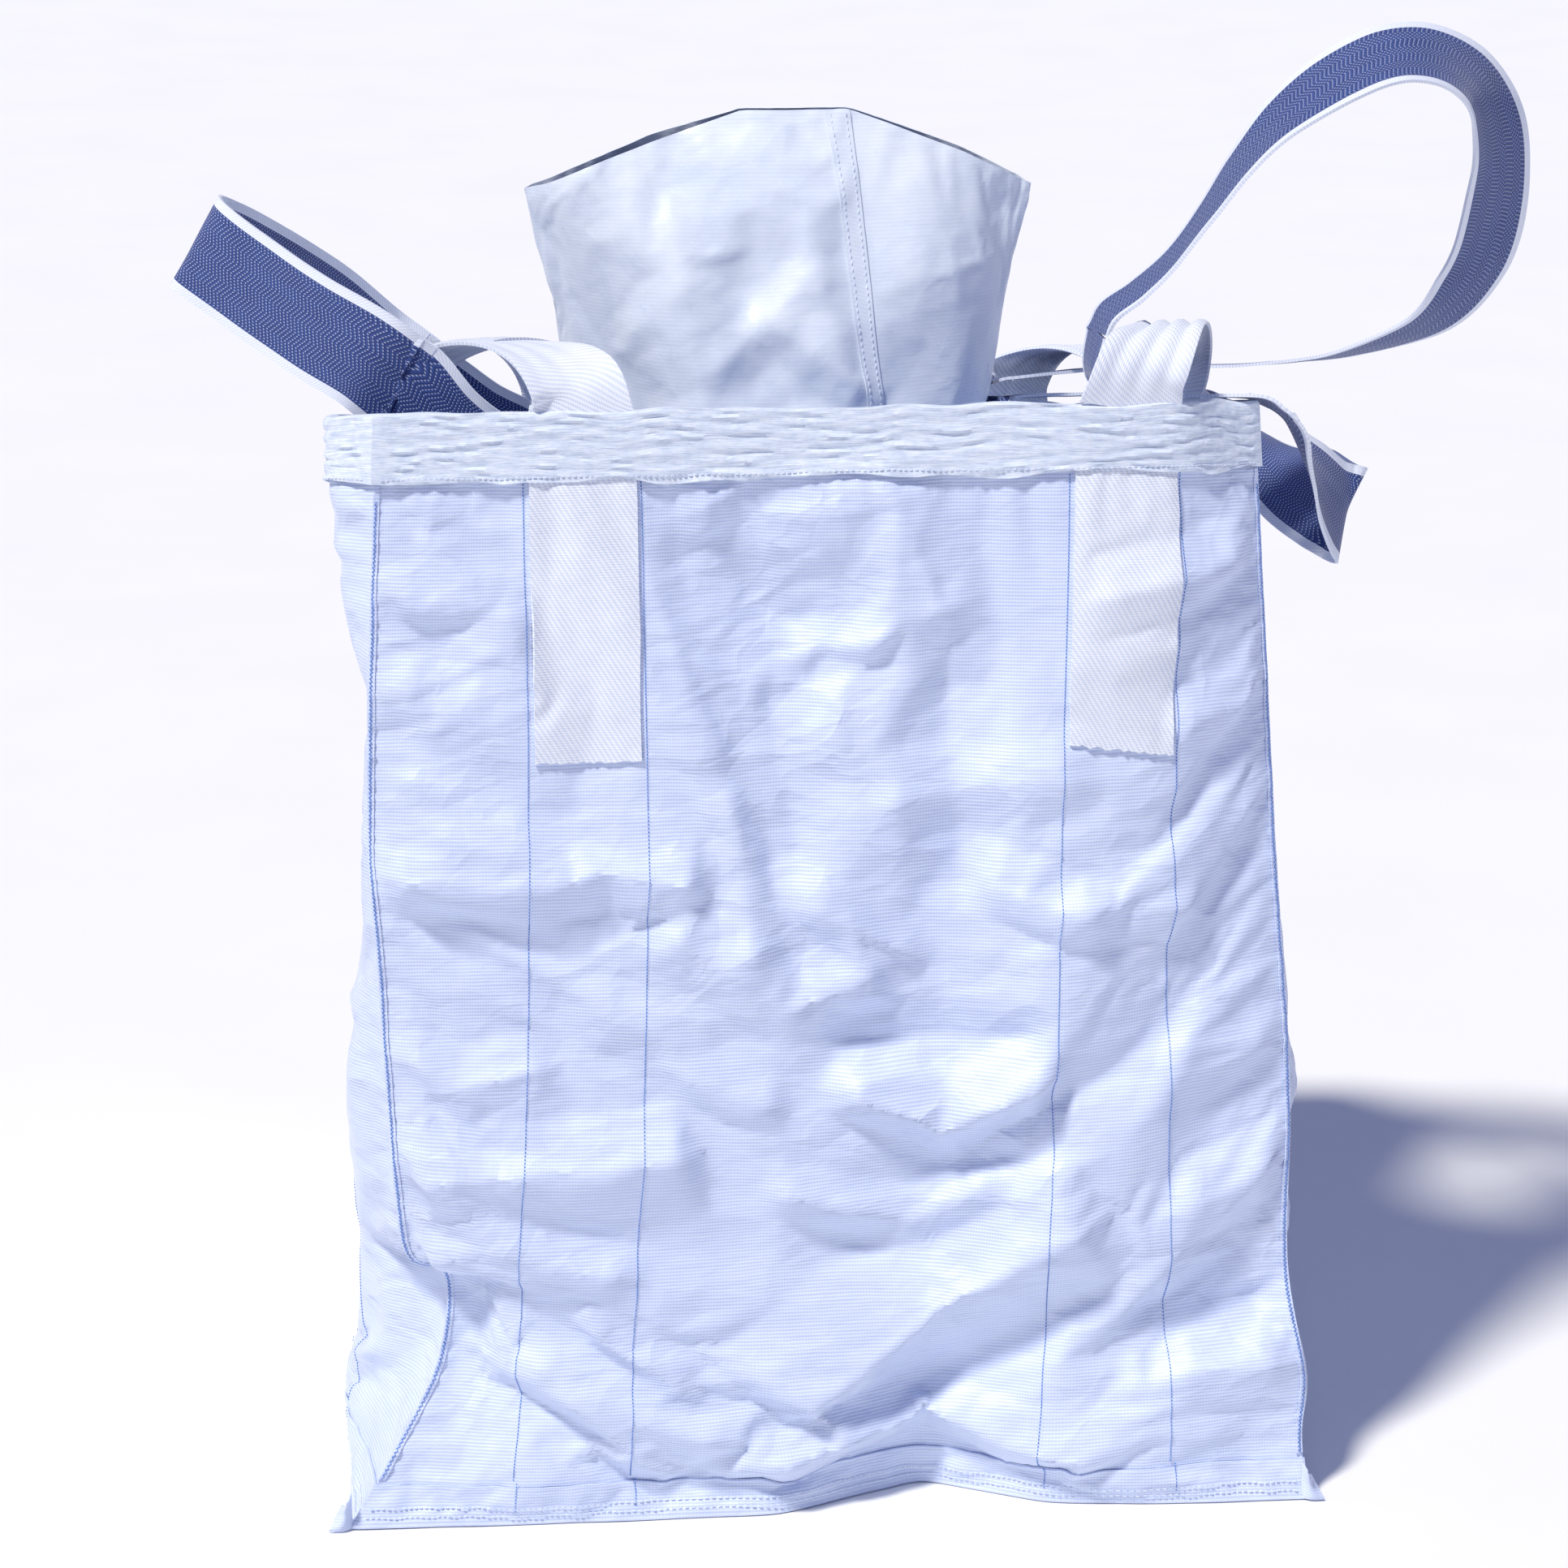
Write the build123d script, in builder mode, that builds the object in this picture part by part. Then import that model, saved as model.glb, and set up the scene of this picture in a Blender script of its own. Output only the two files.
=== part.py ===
from build123d import *
import math
import os

# An empty bulk bag standing on its base, its mouth sagging together from front to back.
# Millimetres, +Z up, +Y from the front of the bag to its back, origin at the centre of the base.

PANEL = 2.0             # thickness of the woven body fabric with its seam allowance
WEB = 3.0               # thickness of the lifting webbing
WEB_WIDTH = 95.0        # width of the lifting webbing
GAP = 0.3               # clearance kept between layers sewn to each other
BASE_TOP = 2.3          # height at which the walls start above the base panel
MID_HEIGHT = 525.0      # height of the middle section of the walls
HEM_HEIGHT = 1050.0     # height of the mouth at its front edge
FRONT_Y = -370.0        # front edge of the mouth
HEM_FALL = 0.24         # how much the mouth drops per millimetre towards the back
MID_STRETCH = 1.5865    # the middle section is this much deeper than the mouth
MID_SHIFT = 162.0       # and its centre lies this much further back
HEM_BAND = 60.0         # height of the folded band around the mouth
BASE_BAND = 40.0        # height of the sewn band around the base
LEG_DROP = 310.0        # how far the webbing is sewn down each wall
LOOP_GATHER = 32.0      # how much narrower each loop is at its crest, where a sling gathers it
TOP_SHARE = 0.72        # the top panel hangs at this share of the way from the middle to the mouth
SPOUT_X = -22.0         # centre of the filling spout, across
SPOUT_Y = -110.0        # centre of the filling spout, front to back
SPOUT_PEAK = 1280.0     # highest point of the spout's open end
SPOUT_SIDE = 1206.0     # height of the spout's open end at its two sides


# ---------------------------------------------------------------- shared functions

def inset(points, distance):
    """Move an open run of points sideways by a distance, to its left, with mitred corners."""
    moved = []
    for index, point in enumerate(points):
        normals = []
        for first, second in ((index - 1, index), (index, index + 1)):
            if first >= 0 and second < len(points):
                dx = points[second][0] - points[first][0]
                dy = points[second][1] - points[first][1]
                length = math.hypot(dx, dy)
                normals.append((-dy / length, dx / length))
        nx = sum(normal[0] for normal in normals)
        ny = sum(normal[1] for normal in normals)
        size = nx * nx + ny * ny
        reach = distance * len(normals) / size
        moved.append((point[0] + nx * reach, point[1] + ny * reach))
    return moved


def mix(first, second, share):
    """Points part of the way between two matching runs of points."""
    return [
        (a[0] + (b[0] - a[0]) * share, a[1] + (b[1] - a[1]) * share)
        for a, b in zip(first, second)
    ]


def hem_plane(share):
    """The tilted plane that lies this share of the way from the middle section to the mouth."""
    stretch = (1 - share) * MID_STRETCH + share
    slope = -HEM_FALL * share / stretch
    y = (1 - share) * (MID_SHIFT + MID_STRETCH * FRONT_Y) + share * FRONT_Y
    z = (1 - share) * MID_HEIGHT + share * HEM_HEIGHT
    return Plane(origin=(0, y, z), x_dir=(1, 0, 0), z_dir=(0, -slope, 1))


def level(height):
    """A level plane."""
    return Plane(origin=(0, 0, height), x_dir=(1, 0, 0), z_dir=(0, 0, 1))


def drop_share(drop):
    """The share of the way up for a line this far below the mouth."""
    return 1 - drop / (HEM_HEIGHT - MID_HEIGHT)


def on_plane(points, plane):
    """Plan points moved up or down onto a plane, in that plane's own coordinates."""
    local = []
    for x, y in points:
        normal = plane.z_dir
        origin = plane.origin
        z = origin.Z - (normal.Y * (y - origin.Y)) / normal.Z
        spot = plane.to_local_coords(Vector(x, y, z))
        local.append((spot.X, spot.Y))
    return local


def strip(run, near, far, plane):
    """Outline of a thin strip between two offsets of a run of points, on a plane."""
    return on_plane(inset(run, near) + inset(run, far)[::-1], plane)


def layer(near, far, sections):
    """A thin sheet through sections, each a run of points and the plane it lies on."""
    with BuildPart() as sheet:
        for run, plane in sections:
            with BuildSketch(plane):
                with BuildLine():
                    Polyline(*strip(run, near, far, plane), close=True)
                make_face()
        loft(ruled=True)
    return sheet


def mouth_y(run):
    """The middle section's depth that goes with each point of the mouth."""
    return [MID_SHIFT + MID_STRETCH * point[1] for point in run]


def save(part, name):
    """Label a finished piece and write it out."""
    part.part.label = name
    export_step(part.part, "parts/" + name + ".step")


os.makedirs("parts", exist_ok=True)

# ---------------------------------------------------------------- outline of the walls
# Each wall is a run of plan points at the base, in the middle and at the mouth.
# Runs go so that the inside of the bag lies on their left.

front_top = [
    (-400, -370), (-265, -371), (-171, -371), (-50, -368),
    (90, -366), (226, -371), (318, -362), (391, -325),
]
front_mid_x = (-416, -267, -171, -50, 92, 216, 308, 425)
front_mid = list(zip(front_mid_x, mouth_y(front_top)))
front_base = [
    (-450, -450), (-296, -450), (-195, -449), (-48, -446),
    (93, -383), (206, -439), (318, -450), (450, -450),
]

right_top = [(391.5, -322), (388, -290), (260, -105), (380, 110), (376, 146)]
right_mid_x = (425.5, 430, 380, 430, 427)
right_mid = list(zip(right_mid_x, mouth_y(right_top)))
right_base = [(450, -447), (451.5, -378), (449, 0), (451.5, 378), (450, 447)]

back_top = [(375, 150), (267, 152), (173, 151), (0, 148), (-173, 151), (-267, 152), (-400, 150)]
back_mid_x = (425, 271, 171, 0, -171, -271, -430)
back_mid = list(zip(back_mid_x, mouth_y(back_top)))
back_base = [(450, 450), (300, 452), (200, 451), (0, 446), (-200, 451), (-300, 452), (-450, 450)]

left_top = [(-401, 146), (-449, 110), (-300, -110), (-449, -330), (-401, -366.5)]
left_mid_x = (-430.5, -441, -375, -440, -417)
left_mid = list(zip(left_mid_x, mouth_y(left_top)))
left_base = [(-450, 447), (-451.5, 378), (-449, 0), (-451.5, -378), (-450, -447)]


def wall(base, middle, top):
    """A woven panel from the base to the mouth."""
    sections = [(base, level(BASE_TOP)), (middle, level(MID_HEIGHT)), (top, hem_plane(1))]
    return layer(0, PANEL, sections)


def sewn_band(middle, top, near, far, low, high):
    """A strip sewn outside a wall between two shares of the way to the mouth."""
    low_run = mix(middle, top, low)
    high_run = mix(middle, top, high)
    return layer(near, far, [(low_run, hem_plane(low)), (high_run, hem_plane(high))])


def base_band(base, middle):
    """The double band sewn around the foot of a wall."""
    share = (BASE_BAND - BASE_TOP) / (MID_HEIGHT - BASE_TOP)
    high_run = mix(base, middle, share)
    return layer(-GAP, -GAP - PANEL, [(base, level(BASE_TOP)), (high_run, level(BASE_BAND))])


# ---------------------------------------------------------------- body panels

front_panel = wall(front_base, front_mid, front_top)
save(front_panel, "front_panel")
right_side_panel = wall(right_base, right_mid, right_top)
save(right_side_panel, "right_side_panel")
back_panel = wall(back_base, back_mid, back_top)
save(back_panel, "back_panel")
left_side_panel = wall(left_base, left_mid, left_top)
save(left_side_panel, "left_side_panel")

# The base is one flat square of fabric; its front edge is pushed in where the bag kinks.
with BuildPart() as base_panel:
    with BuildSketch(level(0)):
        with BuildLine():
            Polyline(*front_base, (450, 450), (-450, 450), close=True)
        make_face()
    extrude(amount=PANEL)
save(base_panel, "base_panel")

# The top panel sags inside the mouth and has the round hole that feeds the spout.
top_ring = (
    mix(front_mid, front_top, TOP_SHARE)
    + mix(right_mid, right_top, TOP_SHARE)[1:-1]
    + mix(back_mid, back_top, TOP_SHARE)
    + mix(left_mid, left_top, TOP_SHARE)[1:-1]
)
top_outline = inset(top_ring + top_ring[:2], 6)[1:-1]
top_plane = hem_plane(TOP_SHARE)
hole_spot = on_plane([(SPOUT_X, SPOUT_Y)], top_plane)[0]
with BuildPart() as top_panel:
    with BuildSketch(top_plane):
        with BuildLine():
            Polyline(*on_plane(top_outline, top_plane), close=True)
        make_face()
        with Locations(hole_spot):
            Ellipse(194, 128, mode=Mode.SUBTRACT)
    extrude(amount=PANEL)
save(top_panel, "top_panel")

# ---------------------------------------------------------------- hem bands

HEM_NEAR = GAP + WEB + GAP
hem_low = drop_share(HEM_BAND)
hem_runs = {
    "front_hem": (front_mid, front_top),
    "right_hem": (right_mid, right_top),
    "back_hem": (back_mid, back_top),
    "left_hem": (left_mid, left_top),
}
for name, (middle, top) in hem_runs.items():
    save(sewn_band(middle, top, -HEM_NEAR, -HEM_NEAR - PANEL, hem_low, 1), name)

save(base_band(front_base, front_mid), "front_base_seam")
save(base_band(right_base, right_mid), "right_base_seam")
save(base_band(back_base, back_mid), "back_base_seam")
save(base_band(left_base, left_mid), "left_base_seam")

# ---------------------------------------------------------------- corner seams
# A narrow overlocked ridge runs up each vertical edge, from the base band to the hem band.

SEAM_SHARE = 0.1        # width of the ridge as a share of the stretch beside the corner
SEAM_THICK = 1.2


def edge_run(run, at_start):
    """The strip of a run beside the corner."""
    first, second = (run[0], run[1]) if at_start else (run[-1], run[-2])
    inner = (
        first[0] + (second[0] - first[0]) * SEAM_SHARE,
        first[1] + (second[1] - first[1]) * SEAM_SHARE,
    )
    return [first, inner] if at_start else [inner, first]


def corner_seam(base, middle, top, at_start):
    """The ridge along one vertical edge of a wall."""
    share = (BASE_BAND + 3 - BASE_TOP) / (MID_HEIGHT - BASE_TOP)
    high = drop_share(HEM_BAND + 3)
    low_run = edge_run(mix(base, middle, share), at_start)
    mid_run = edge_run(middle, at_start)
    high_run = edge_run(mix(middle, top, high), at_start)
    sections = [
        (low_run, level(BASE_BAND + 3)),
        (mid_run, level(MID_HEIGHT)),
        (high_run, hem_plane(high)),
    ]
    return layer(-GAP, -GAP - SEAM_THICK, sections)


save(corner_seam(front_base, front_mid, front_top, True), "front_left_corner_seam")
save(corner_seam(front_base, front_mid, front_top, False), "front_right_corner_seam")
save(corner_seam(back_base, back_mid, back_top, True), "back_right_corner_seam")
save(corner_seam(back_base, back_mid, back_top, False), "back_left_corner_seam")

# ---------------------------------------------------------------- webbing sewn down the walls


def centred(run, share):
    """A straight run of webbing width, centred part of the way along a straight run."""
    first, second = run
    length = math.hypot(second[0] - first[0], second[1] - first[1])
    half = WEB_WIDTH / 2 / length
    ends = []
    for part_way in (share - half, share + half):
        ends.append((
            first[0] + (second[0] - first[0]) * part_way,
            first[1] + (second[1] - first[1]) * part_way,
        ))
    return ends


def web_leg(middle, top, index, share=0.5):
    """Webbing sewn outside one straight stretch of a wall, from the mouth down."""
    low = drop_share(LEG_DROP)
    sections = []
    for step in range(LEG_STEPS + 1):
        height = low + (1 - low) * step / LEG_STEPS
        run = centred(mix(middle, top, height)[index:index + 2], share)
        sections.append((run, hem_plane(height)))
    return layer(-GAP, -GAP - WEB, sections)


LEG_STEPS = 6
RIGHT_SHARE = 0.5
save(web_leg(front_mid, front_top, 1), "web_front_left")
save(web_leg(front_mid, front_top, 5), "web_front_right")
save(web_leg(right_mid, right_top, 1, RIGHT_SHARE), "web_right_front")
save(web_leg(right_mid, right_top, 2, 1 - RIGHT_SHARE), "web_right_back")
save(web_leg(back_mid, back_top, 1), "web_back_right")
save(web_leg(back_mid, back_top, 4), "web_back_left")
save(web_leg(left_mid, left_top, 1), "web_left_back")
save(web_leg(left_mid, left_top, 2), "web_left_front")

# ---------------------------------------------------------------- bands of webbing through the air


def square(direction, other):
    """A direction with its part along another one taken away."""
    unit = other.normalized()
    return (direction - unit * direction.dot(unit)).normalized()


def band(stations, width=WEB_WIDTH, thickness=WEB, gather=0.0):
    """Webbing along a row of stations: centre, width direction and, at a cut end, run direction.

    It is narrower by the gather halfway along.
    """
    centres = [Vector(*station[0]) for station in stations]
    last = len(centres) - 1
    with BuildPart() as webbing:
        for index, station in enumerate(stations):
            across = Vector(*station[1])
            if len(station) > 2:
                along = square(Vector(*station[2]), across)
            else:
                along = centres[min(index + 1, last)] - centres[max(index - 1, 0)]
                across = square(across, along)
            narrower = gather * math.sin(math.pi * index / last)
            with BuildSketch(Plane(origin=station[0], x_dir=across, z_dir=along)):
                Rectangle(width - narrower, thickness)
        loft(ruled=True)
    return webbing


def blend(first, second, share):
    """A vector part of the way from one to another."""
    return tuple(a + (b - a) * share for a, b in zip(first, second))


def corner_loop(first, second, first_across, second_across, crest, steps=9):
    """A bridge of webbing from one wall to its neighbour across a corner."""
    middle = blend(first, second, 0.5)
    stations = []
    for step in range(steps):
        angle = math.pi * step / (steps - 1)
        share = (1 - math.cos(angle)) / 2
        foot = blend(first, second, share)
        centre = tuple(f + (c - m) * math.sin(angle) for f, c, m in zip(foot, crest, middle))
        across = blend(first_across, second_across, share)
        if step == 0:
            stations.append((centre, across, (0, 0, 1)))
        elif step == steps - 1:
            stations.append((centre, across, (0, 0, -1)))
        else:
            stations.append((centre, across))
    return band(stations, gather=LOOP_GATHER)


front_left_loop = corner_loop(
    (-218, -372.8, 1052.5), (-376.5, -218.5, 1016.5),
    (1, 0, 0), (0.56, 0.83, -0.2), (-297, -296, 1142), 8,
)
save(front_left_loop, "front_left_loop")
front_right_loop = corner_loop(
    (272, -368.8, 1052.5), (325.9, -195.8, 1012),
    (1, 0.1, -0.024), (0.57, -0.82, 0.2), (322, -302, 1148),
)
save(front_right_loop, "front_right_loop")
back_left_loop = corner_loop(
    (-220, 153.5, 928), (-376.5, -1.5, 965),
    (1, 0, 0), (0.56, -0.83, 0.2), (-297, 76, 1052),
)
save(back_left_loop, "back_left_loop")
back_right_loop = corner_loop(
    (220, 153.5, 928), (321.9, 1.2, 964),
    (1, 0, 0), (0.49, 0.87, -0.21), (275, 84, 1014),
)
save(back_right_loop, "back_right_loop")

# The left sling stands out to the left as a narrow folded ring.
left_sling = band([
    ((-373.5, -294, 1060), (0.50, 0.00, 0.86), (-0.86, 0.00, 0.50)),
    ((-410, -286, 1088), (0.50, -0.08, 0.86)),
    ((-460, -258, 1112), (0.50, -0.15, 0.85)),
    ((-515, -222, 1141), (0.50, -0.18, 0.84)),
    ((-548, -194, 1160), (0.50, -0.10, 0.86)),
    ((-562, -176, 1168), (0.50, 0.00, 0.86)),
    ((-562, -160, 1168), (0.50, 0.05, 0.86)),
    ((-552, -143, 1160), (0.50, 0.15, 0.85)),
    ((-530, -112, 1142), (0.50, 0.25, 0.84)),
    ((-490, -50, 1104), (0.50, 0.33, 0.80)),
    ((-450, 12, 1062), (0.50, 0.33, 0.80)),
    ((-412, 60, 1016), (0.50, 0.20, 0.85)),
    ((-376, 77, 984), (0.50, 0.00, 0.86), (0.86, 0.00, -0.50)),
])
save(left_sling, "left_sling")

# Its other half lies inside the mouth, between the spout and the folded side wall.
left_sling_inner = band([
    ((-371.5, -294, 1058.8), (0.50, 0.00, 0.86), (0.86, 0.00, -0.50)),
    ((-345, -296, 1038), (0.45, 0.00, 0.89)),
    ((-310, -297, 1014), (0.30, 0.00, 0.95)),
    ((-270, -290, 990), (0.12, 0.00, 0.99)),
    ((-248, -270, 975), (0.00, 0.00, 1.00)),
    ((-242, -235, 962), (0.00, 0.00, 1.00)),
    ((-242, -180, 950), (0.00, 0.00, 1.00)),
    ((-242, -110, 936), (0.00, 0.00, 1.00)),
    ((-242, -30, 922), (0.00, 0.00, 1.00)),
    ((-242, 20, 916), (0.00, 0.00, 1.00)),
    ((-248, 52, 914), (0.00, 0.00, 1.00)),
    ((-270, 72, 918), (0.12, 0.00, 0.99)),
    ((-310, 79, 938), (0.30, 0.00, 0.95)),
    ((-345, 79, 962), (0.45, 0.00, 0.89)),
    ((-374, 77, 982.8), (0.50, 0.00, 0.86), (-0.86, 0.00, 0.50)),
])
save(left_sling_inner, "left_sling_inner")

# The right sling stands up in one large open arc.
right_sling = band([
    ((250, -265, 1095.5), (0.0, 1.0, -0.05), (0, 0, 1)),
    ((258, -262, 1130), (0.02, 1.0, -0.05)),
    ((287, -256, 1185), (0.05, 1.0, -0.10)),
    ((330, -248, 1256), (0.10, 1.0, -0.15)),
    ((386, -238, 1308), (0.16, 1.0, -0.30)),
    ((452, -224, 1341), (0.12, 1.0, -0.45)),
    ((520, -206, 1352), (0.03, 1.0, -0.35)),
    ((580, -184, 1342), (-0.05, 1.0, -0.15)),
    ((628, -154, 1302), (0.45, 1.0, 0.35)),
    ((652, -118, 1232), (0.85, 1.0, 0.10)),
    ((656, -80, 1150), (0.85, 1.0, -0.15)),
    ((638, -42, 1080), (0.50, 1.0, -0.20)),
    ((594, -10, 1046), (0.15, 1.0, -0.15)),
    ((520, 14, 1040), (0.05, 1.0, -0.10)),
    ((430, 34, 1046), (0.02, 1.0, -0.10)),
    ((340, 54, 1050), (0.02, 1.0, -0.10)),
    ((270, 64, 1052), (0.02, 1.0, -0.10)),
    ((222, 68, 1048), (0.02, 1.0, -0.10)),
    ((192, 70, 1032), (0.02, 1.0, -0.08)),
    ((183, 71, 1010), (0.02, 1.0, -0.05)),
    ((182, 72, 995.5), (0.0, 1.0, -0.05), (0, 0, -1)),
])
save(right_sling, "right_sling")

right_sling_front_turn = band([
    ((250, -265, 1090.5), (0.0, 1.0, -0.05), (0, 0, -1)),
    ((250, -267, 1062), (0.0, 1.0, -0.08)),
    ((256, -272, 1046), (0.0, 1.0, -0.15)),
    ((274, -280, 1039), (0.0, 1.0, -0.22)),
    ((310, -289, 1038), (0.0, 1.0, -0.24)),
    ((360, -291, 1038), (0.0, 1.0, -0.24)),
    ((396, -291, 1037), (0.0, 1.0, -0.24)),
    ((412, -290, 1032), (0.0, 1.0, -0.24), (0.9, 0, -0.43)),
])
save(right_sling_front_turn, "right_sling_front_turn")

right_sling_back_turn = band([
    ((182, 72, 990.5), (0.0, 1.0, -0.05), (0, 0, -1)),
    ((184, 74, 970), (0.0, 1.0, -0.12)),
    ((196, 78, 957), (0.0, 1.0, -0.20)),
    ((230, 85, 952), (0.0, 1.0, -0.24)),
    ((320, 92, 951), (0.0, 1.0, -0.24)),
    ((370, 92, 952), (0.0, 1.0, -0.24)),
    ((398, 88, 954.5), (0.0, 1.0, -0.24), (1, 0, 0)),
])
save(right_sling_back_turn, "right_sling_back_turn")

# Its short end hangs folded outside the right wall.
right_sling_tail = band([
    ((414, -290, 1031), (0.0, 1.0, -0.24), (0.9, 0, -0.43)),
    ((432, -284, 1010), (0.0, 1.0, -0.10)),
    ((448, -268, 976), (0.05, 0.9, 0.15)),
    ((470, -248, 944), (0.20, 0.8, 0.40)),
    ((492, -222, 914), (0.30, 0.72, 0.60)),
    ((503, -204, 902), (0.30, 0.60, 0.70)),
    ((504, -190, 900), (0.30, 0.50, 0.76)),
    ((496, -176, 902), (0.30, 0.60, 0.70)),
    ((478, -140, 910), (0.25, 0.75, 0.55)),
    ((455, -70, 926), (0.15, 0.9, 0.20)),
    ((432, 10, 944), (0.05, 1.0, 0.00)),
    ((416, 68, 955), (0.0, 1.0, -0.15)),
    ((400, 88, 954.5), (0.0, 1.0, -0.24), (-1, 0, 0)),
])
save(right_sling_tail, "right_sling_tail")

# ---------------------------------------------------------------- filling spout
# A thin fabric tube that starts round on the top panel and is pressed flat at its open end.

spout_plane = Plane(
    origin=top_plane.origin + top_plane.z_dir * (PANEL + GAP), x_dir=(1, 0, 0), z_dir=top_plane.z_dir
)
spout_spot = on_plane([(SPOUT_X, SPOUT_Y)], spout_plane)[0]


SPOUT_RINGS = (
    (1000.0, -2.0, 2.0, 209.0, 121.0),      # height, shift across, shift back, half width, half depth
    (1090.0, -3.0, 5.0, 219.0, 107.0),
    (1180.0, -5.0, 10.0, 231.0, 90.0),
    (SPOUT_PEAK, -6.0, 15.0, 244.0, 68.0),
)


def spout_tube(shrink):
    """The spout's outline from its foot to its open end."""
    with BuildPart() as tube:
        with BuildSketch(spout_plane):
            with Locations(spout_spot):
                Ellipse(199 - shrink, 133 - shrink)
        for height, shift_x, shift_y, half_width, half_depth in SPOUT_RINGS:
            with BuildSketch(level(height)):
                with Locations((SPOUT_X + shift_x, SPOUT_Y + shift_y)):
                    Ellipse(half_width - shrink, half_depth - shrink)
        loft(ruled=True)
    return tube


spout_core = spout_tube(PANEL)
spout_skin = spout_tube(0)
with BuildPart() as filling_spout:
    add(spout_skin.part)
    add(spout_core.part, mode=Mode.SUBTRACT)
    # The open end is highest in the middle and falls away to both sides.
    with BuildSketch(Plane.XZ):
        with BuildLine():
            Polyline(
                (SPOUT_X - 300, SPOUT_SIDE - 16), (SPOUT_X - 40, SPOUT_PEAK), (SPOUT_X + 60, SPOUT_PEAK),
                (SPOUT_X + 300, SPOUT_SIDE - 26), (SPOUT_X + 300, SPOUT_PEAK + 60),
                (SPOUT_X - 300, SPOUT_PEAK + 60), close=True,
            )
        make_face()
    extrude(amount=500, both=True, mode=Mode.SUBTRACT)
save(filling_spout, "filling_spout")

# The overlap where the tube is sewn closed runs up its front, a little right of the middle.
STRIP_WIDTH = 18.0
STRIP_THICK = 1.5
strip_stations = []
STRIP_SHARES = (0.41, 0.38, 0.345, 0.31)    # how far off centre it runs, ring by ring
for share, ring in zip(STRIP_SHARES, SPOUT_RINGS):
    height, shift_x, shift_y, half_width, half_depth = ring
    slant = math.sqrt(1 - share * share)
    front_x = SPOUT_X + shift_x + half_width * share
    front_y = SPOUT_Y + shift_y - half_depth * slant
    normal = Vector(share / half_width, -slant / half_depth, 0).normalized()
    off = 2 * GAP + STRIP_THICK / 2
    across = (-normal.Y, normal.X, 0)
    centre = (front_x + normal.X * off, front_y + normal.Y * off, height)
    strip_stations.append((centre, across, (0, 0, 1)))
spout_seam_strip = band(strip_stations, STRIP_WIDTH, STRIP_THICK)
save(spout_seam_strip, "spout_seam_strip")
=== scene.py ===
import bpy
import math
import numpy as np
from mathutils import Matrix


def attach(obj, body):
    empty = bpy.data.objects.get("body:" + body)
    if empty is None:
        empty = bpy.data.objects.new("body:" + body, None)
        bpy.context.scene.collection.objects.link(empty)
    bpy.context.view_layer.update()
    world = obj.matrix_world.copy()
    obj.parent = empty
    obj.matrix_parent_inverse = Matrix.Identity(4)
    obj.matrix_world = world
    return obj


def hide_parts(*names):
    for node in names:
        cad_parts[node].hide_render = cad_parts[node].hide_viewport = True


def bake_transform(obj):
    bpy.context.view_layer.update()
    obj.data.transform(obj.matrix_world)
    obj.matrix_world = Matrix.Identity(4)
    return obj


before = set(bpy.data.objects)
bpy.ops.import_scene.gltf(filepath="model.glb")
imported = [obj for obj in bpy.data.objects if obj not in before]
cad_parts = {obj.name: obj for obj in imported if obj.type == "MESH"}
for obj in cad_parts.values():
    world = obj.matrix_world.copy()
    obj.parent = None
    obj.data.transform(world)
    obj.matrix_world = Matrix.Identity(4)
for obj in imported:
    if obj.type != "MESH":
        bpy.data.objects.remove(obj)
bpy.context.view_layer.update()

# An empty bulk bag on its flat base: woven walls, hem, webbing legs and loops, two slings and a spout.
# Lengths are in millimetres and are scaled to metres as each mesh is made. The frame's +Y is the back.

mm = 0.001
bag = {
    "baseTop": 2.3, "midHeight": 525, "hemHeight": 1050, "frontY": -370, "hemFall": 0.24,
    "midStretch": 1.5865, "midShift": 162,
    "soften": 0.13,       # how far up and down the waist is rounded, as a share of the height
    "thick": 1.5,         # the woven fabric
    "depth": 2.0,         # how strongly the large creases stand out
    "growth": 0.016,      # slack that the settling cloth takes up in creases
    "settleFrames": 14,
}


# Runs and grids

def along(points, place):  # points of a run at fractional places along its list
    points = np.asarray(points, float)
    index = np.arange(len(points))
    return np.stack([np.interp(place, index, points[:, k]) for k in range(points.shape[1])], -1)


def curveAlong(points, count):  # a smooth curve through a short list of stations
    points = np.asarray(points, float)
    padded = np.vstack([2 * points[0] - points[1], points, 2 * points[-1] - points[-2]])
    place = np.linspace(0, len(points) - 1, count)
    k = np.minimum(place.astype(int), len(points) - 2)
    f = (place - k)[:, None]
    a, b, c, d = padded[k], padded[k + 1], padded[k + 2], padded[k + 3]
    return 0.5 * (2 * b + (c - a) * f + (2 * a - 5 * b + 4 * c - d) * f ** 2
                  + (3 * b - a - 3 * c + d) * f ** 3)


def relax(grid, passes, axis):  # evens out neighbours, keeping both ends
    grid = np.moveaxis(grid.copy(), axis, 0)
    for _ in range(passes):
        grid[1:-1] = (grid[:-2] + 2 * grid[1:-1] + grid[2:]) / 4
    return np.moveaxis(grid, 0, axis)


def unit(vectors):
    return vectors / np.maximum(np.linalg.norm(vectors, axis=-1, keepdims=True), 1e-9)


def gridNormals(grid, ring=False):
    du = np.gradient(grid, axis=1)
    if ring:
        du[:, 0] = du[:, -1] = (grid[:, 1] - grid[:, -2]) / 2
    return unit(np.cross(du, np.gradient(grid, axis=0)))


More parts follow.
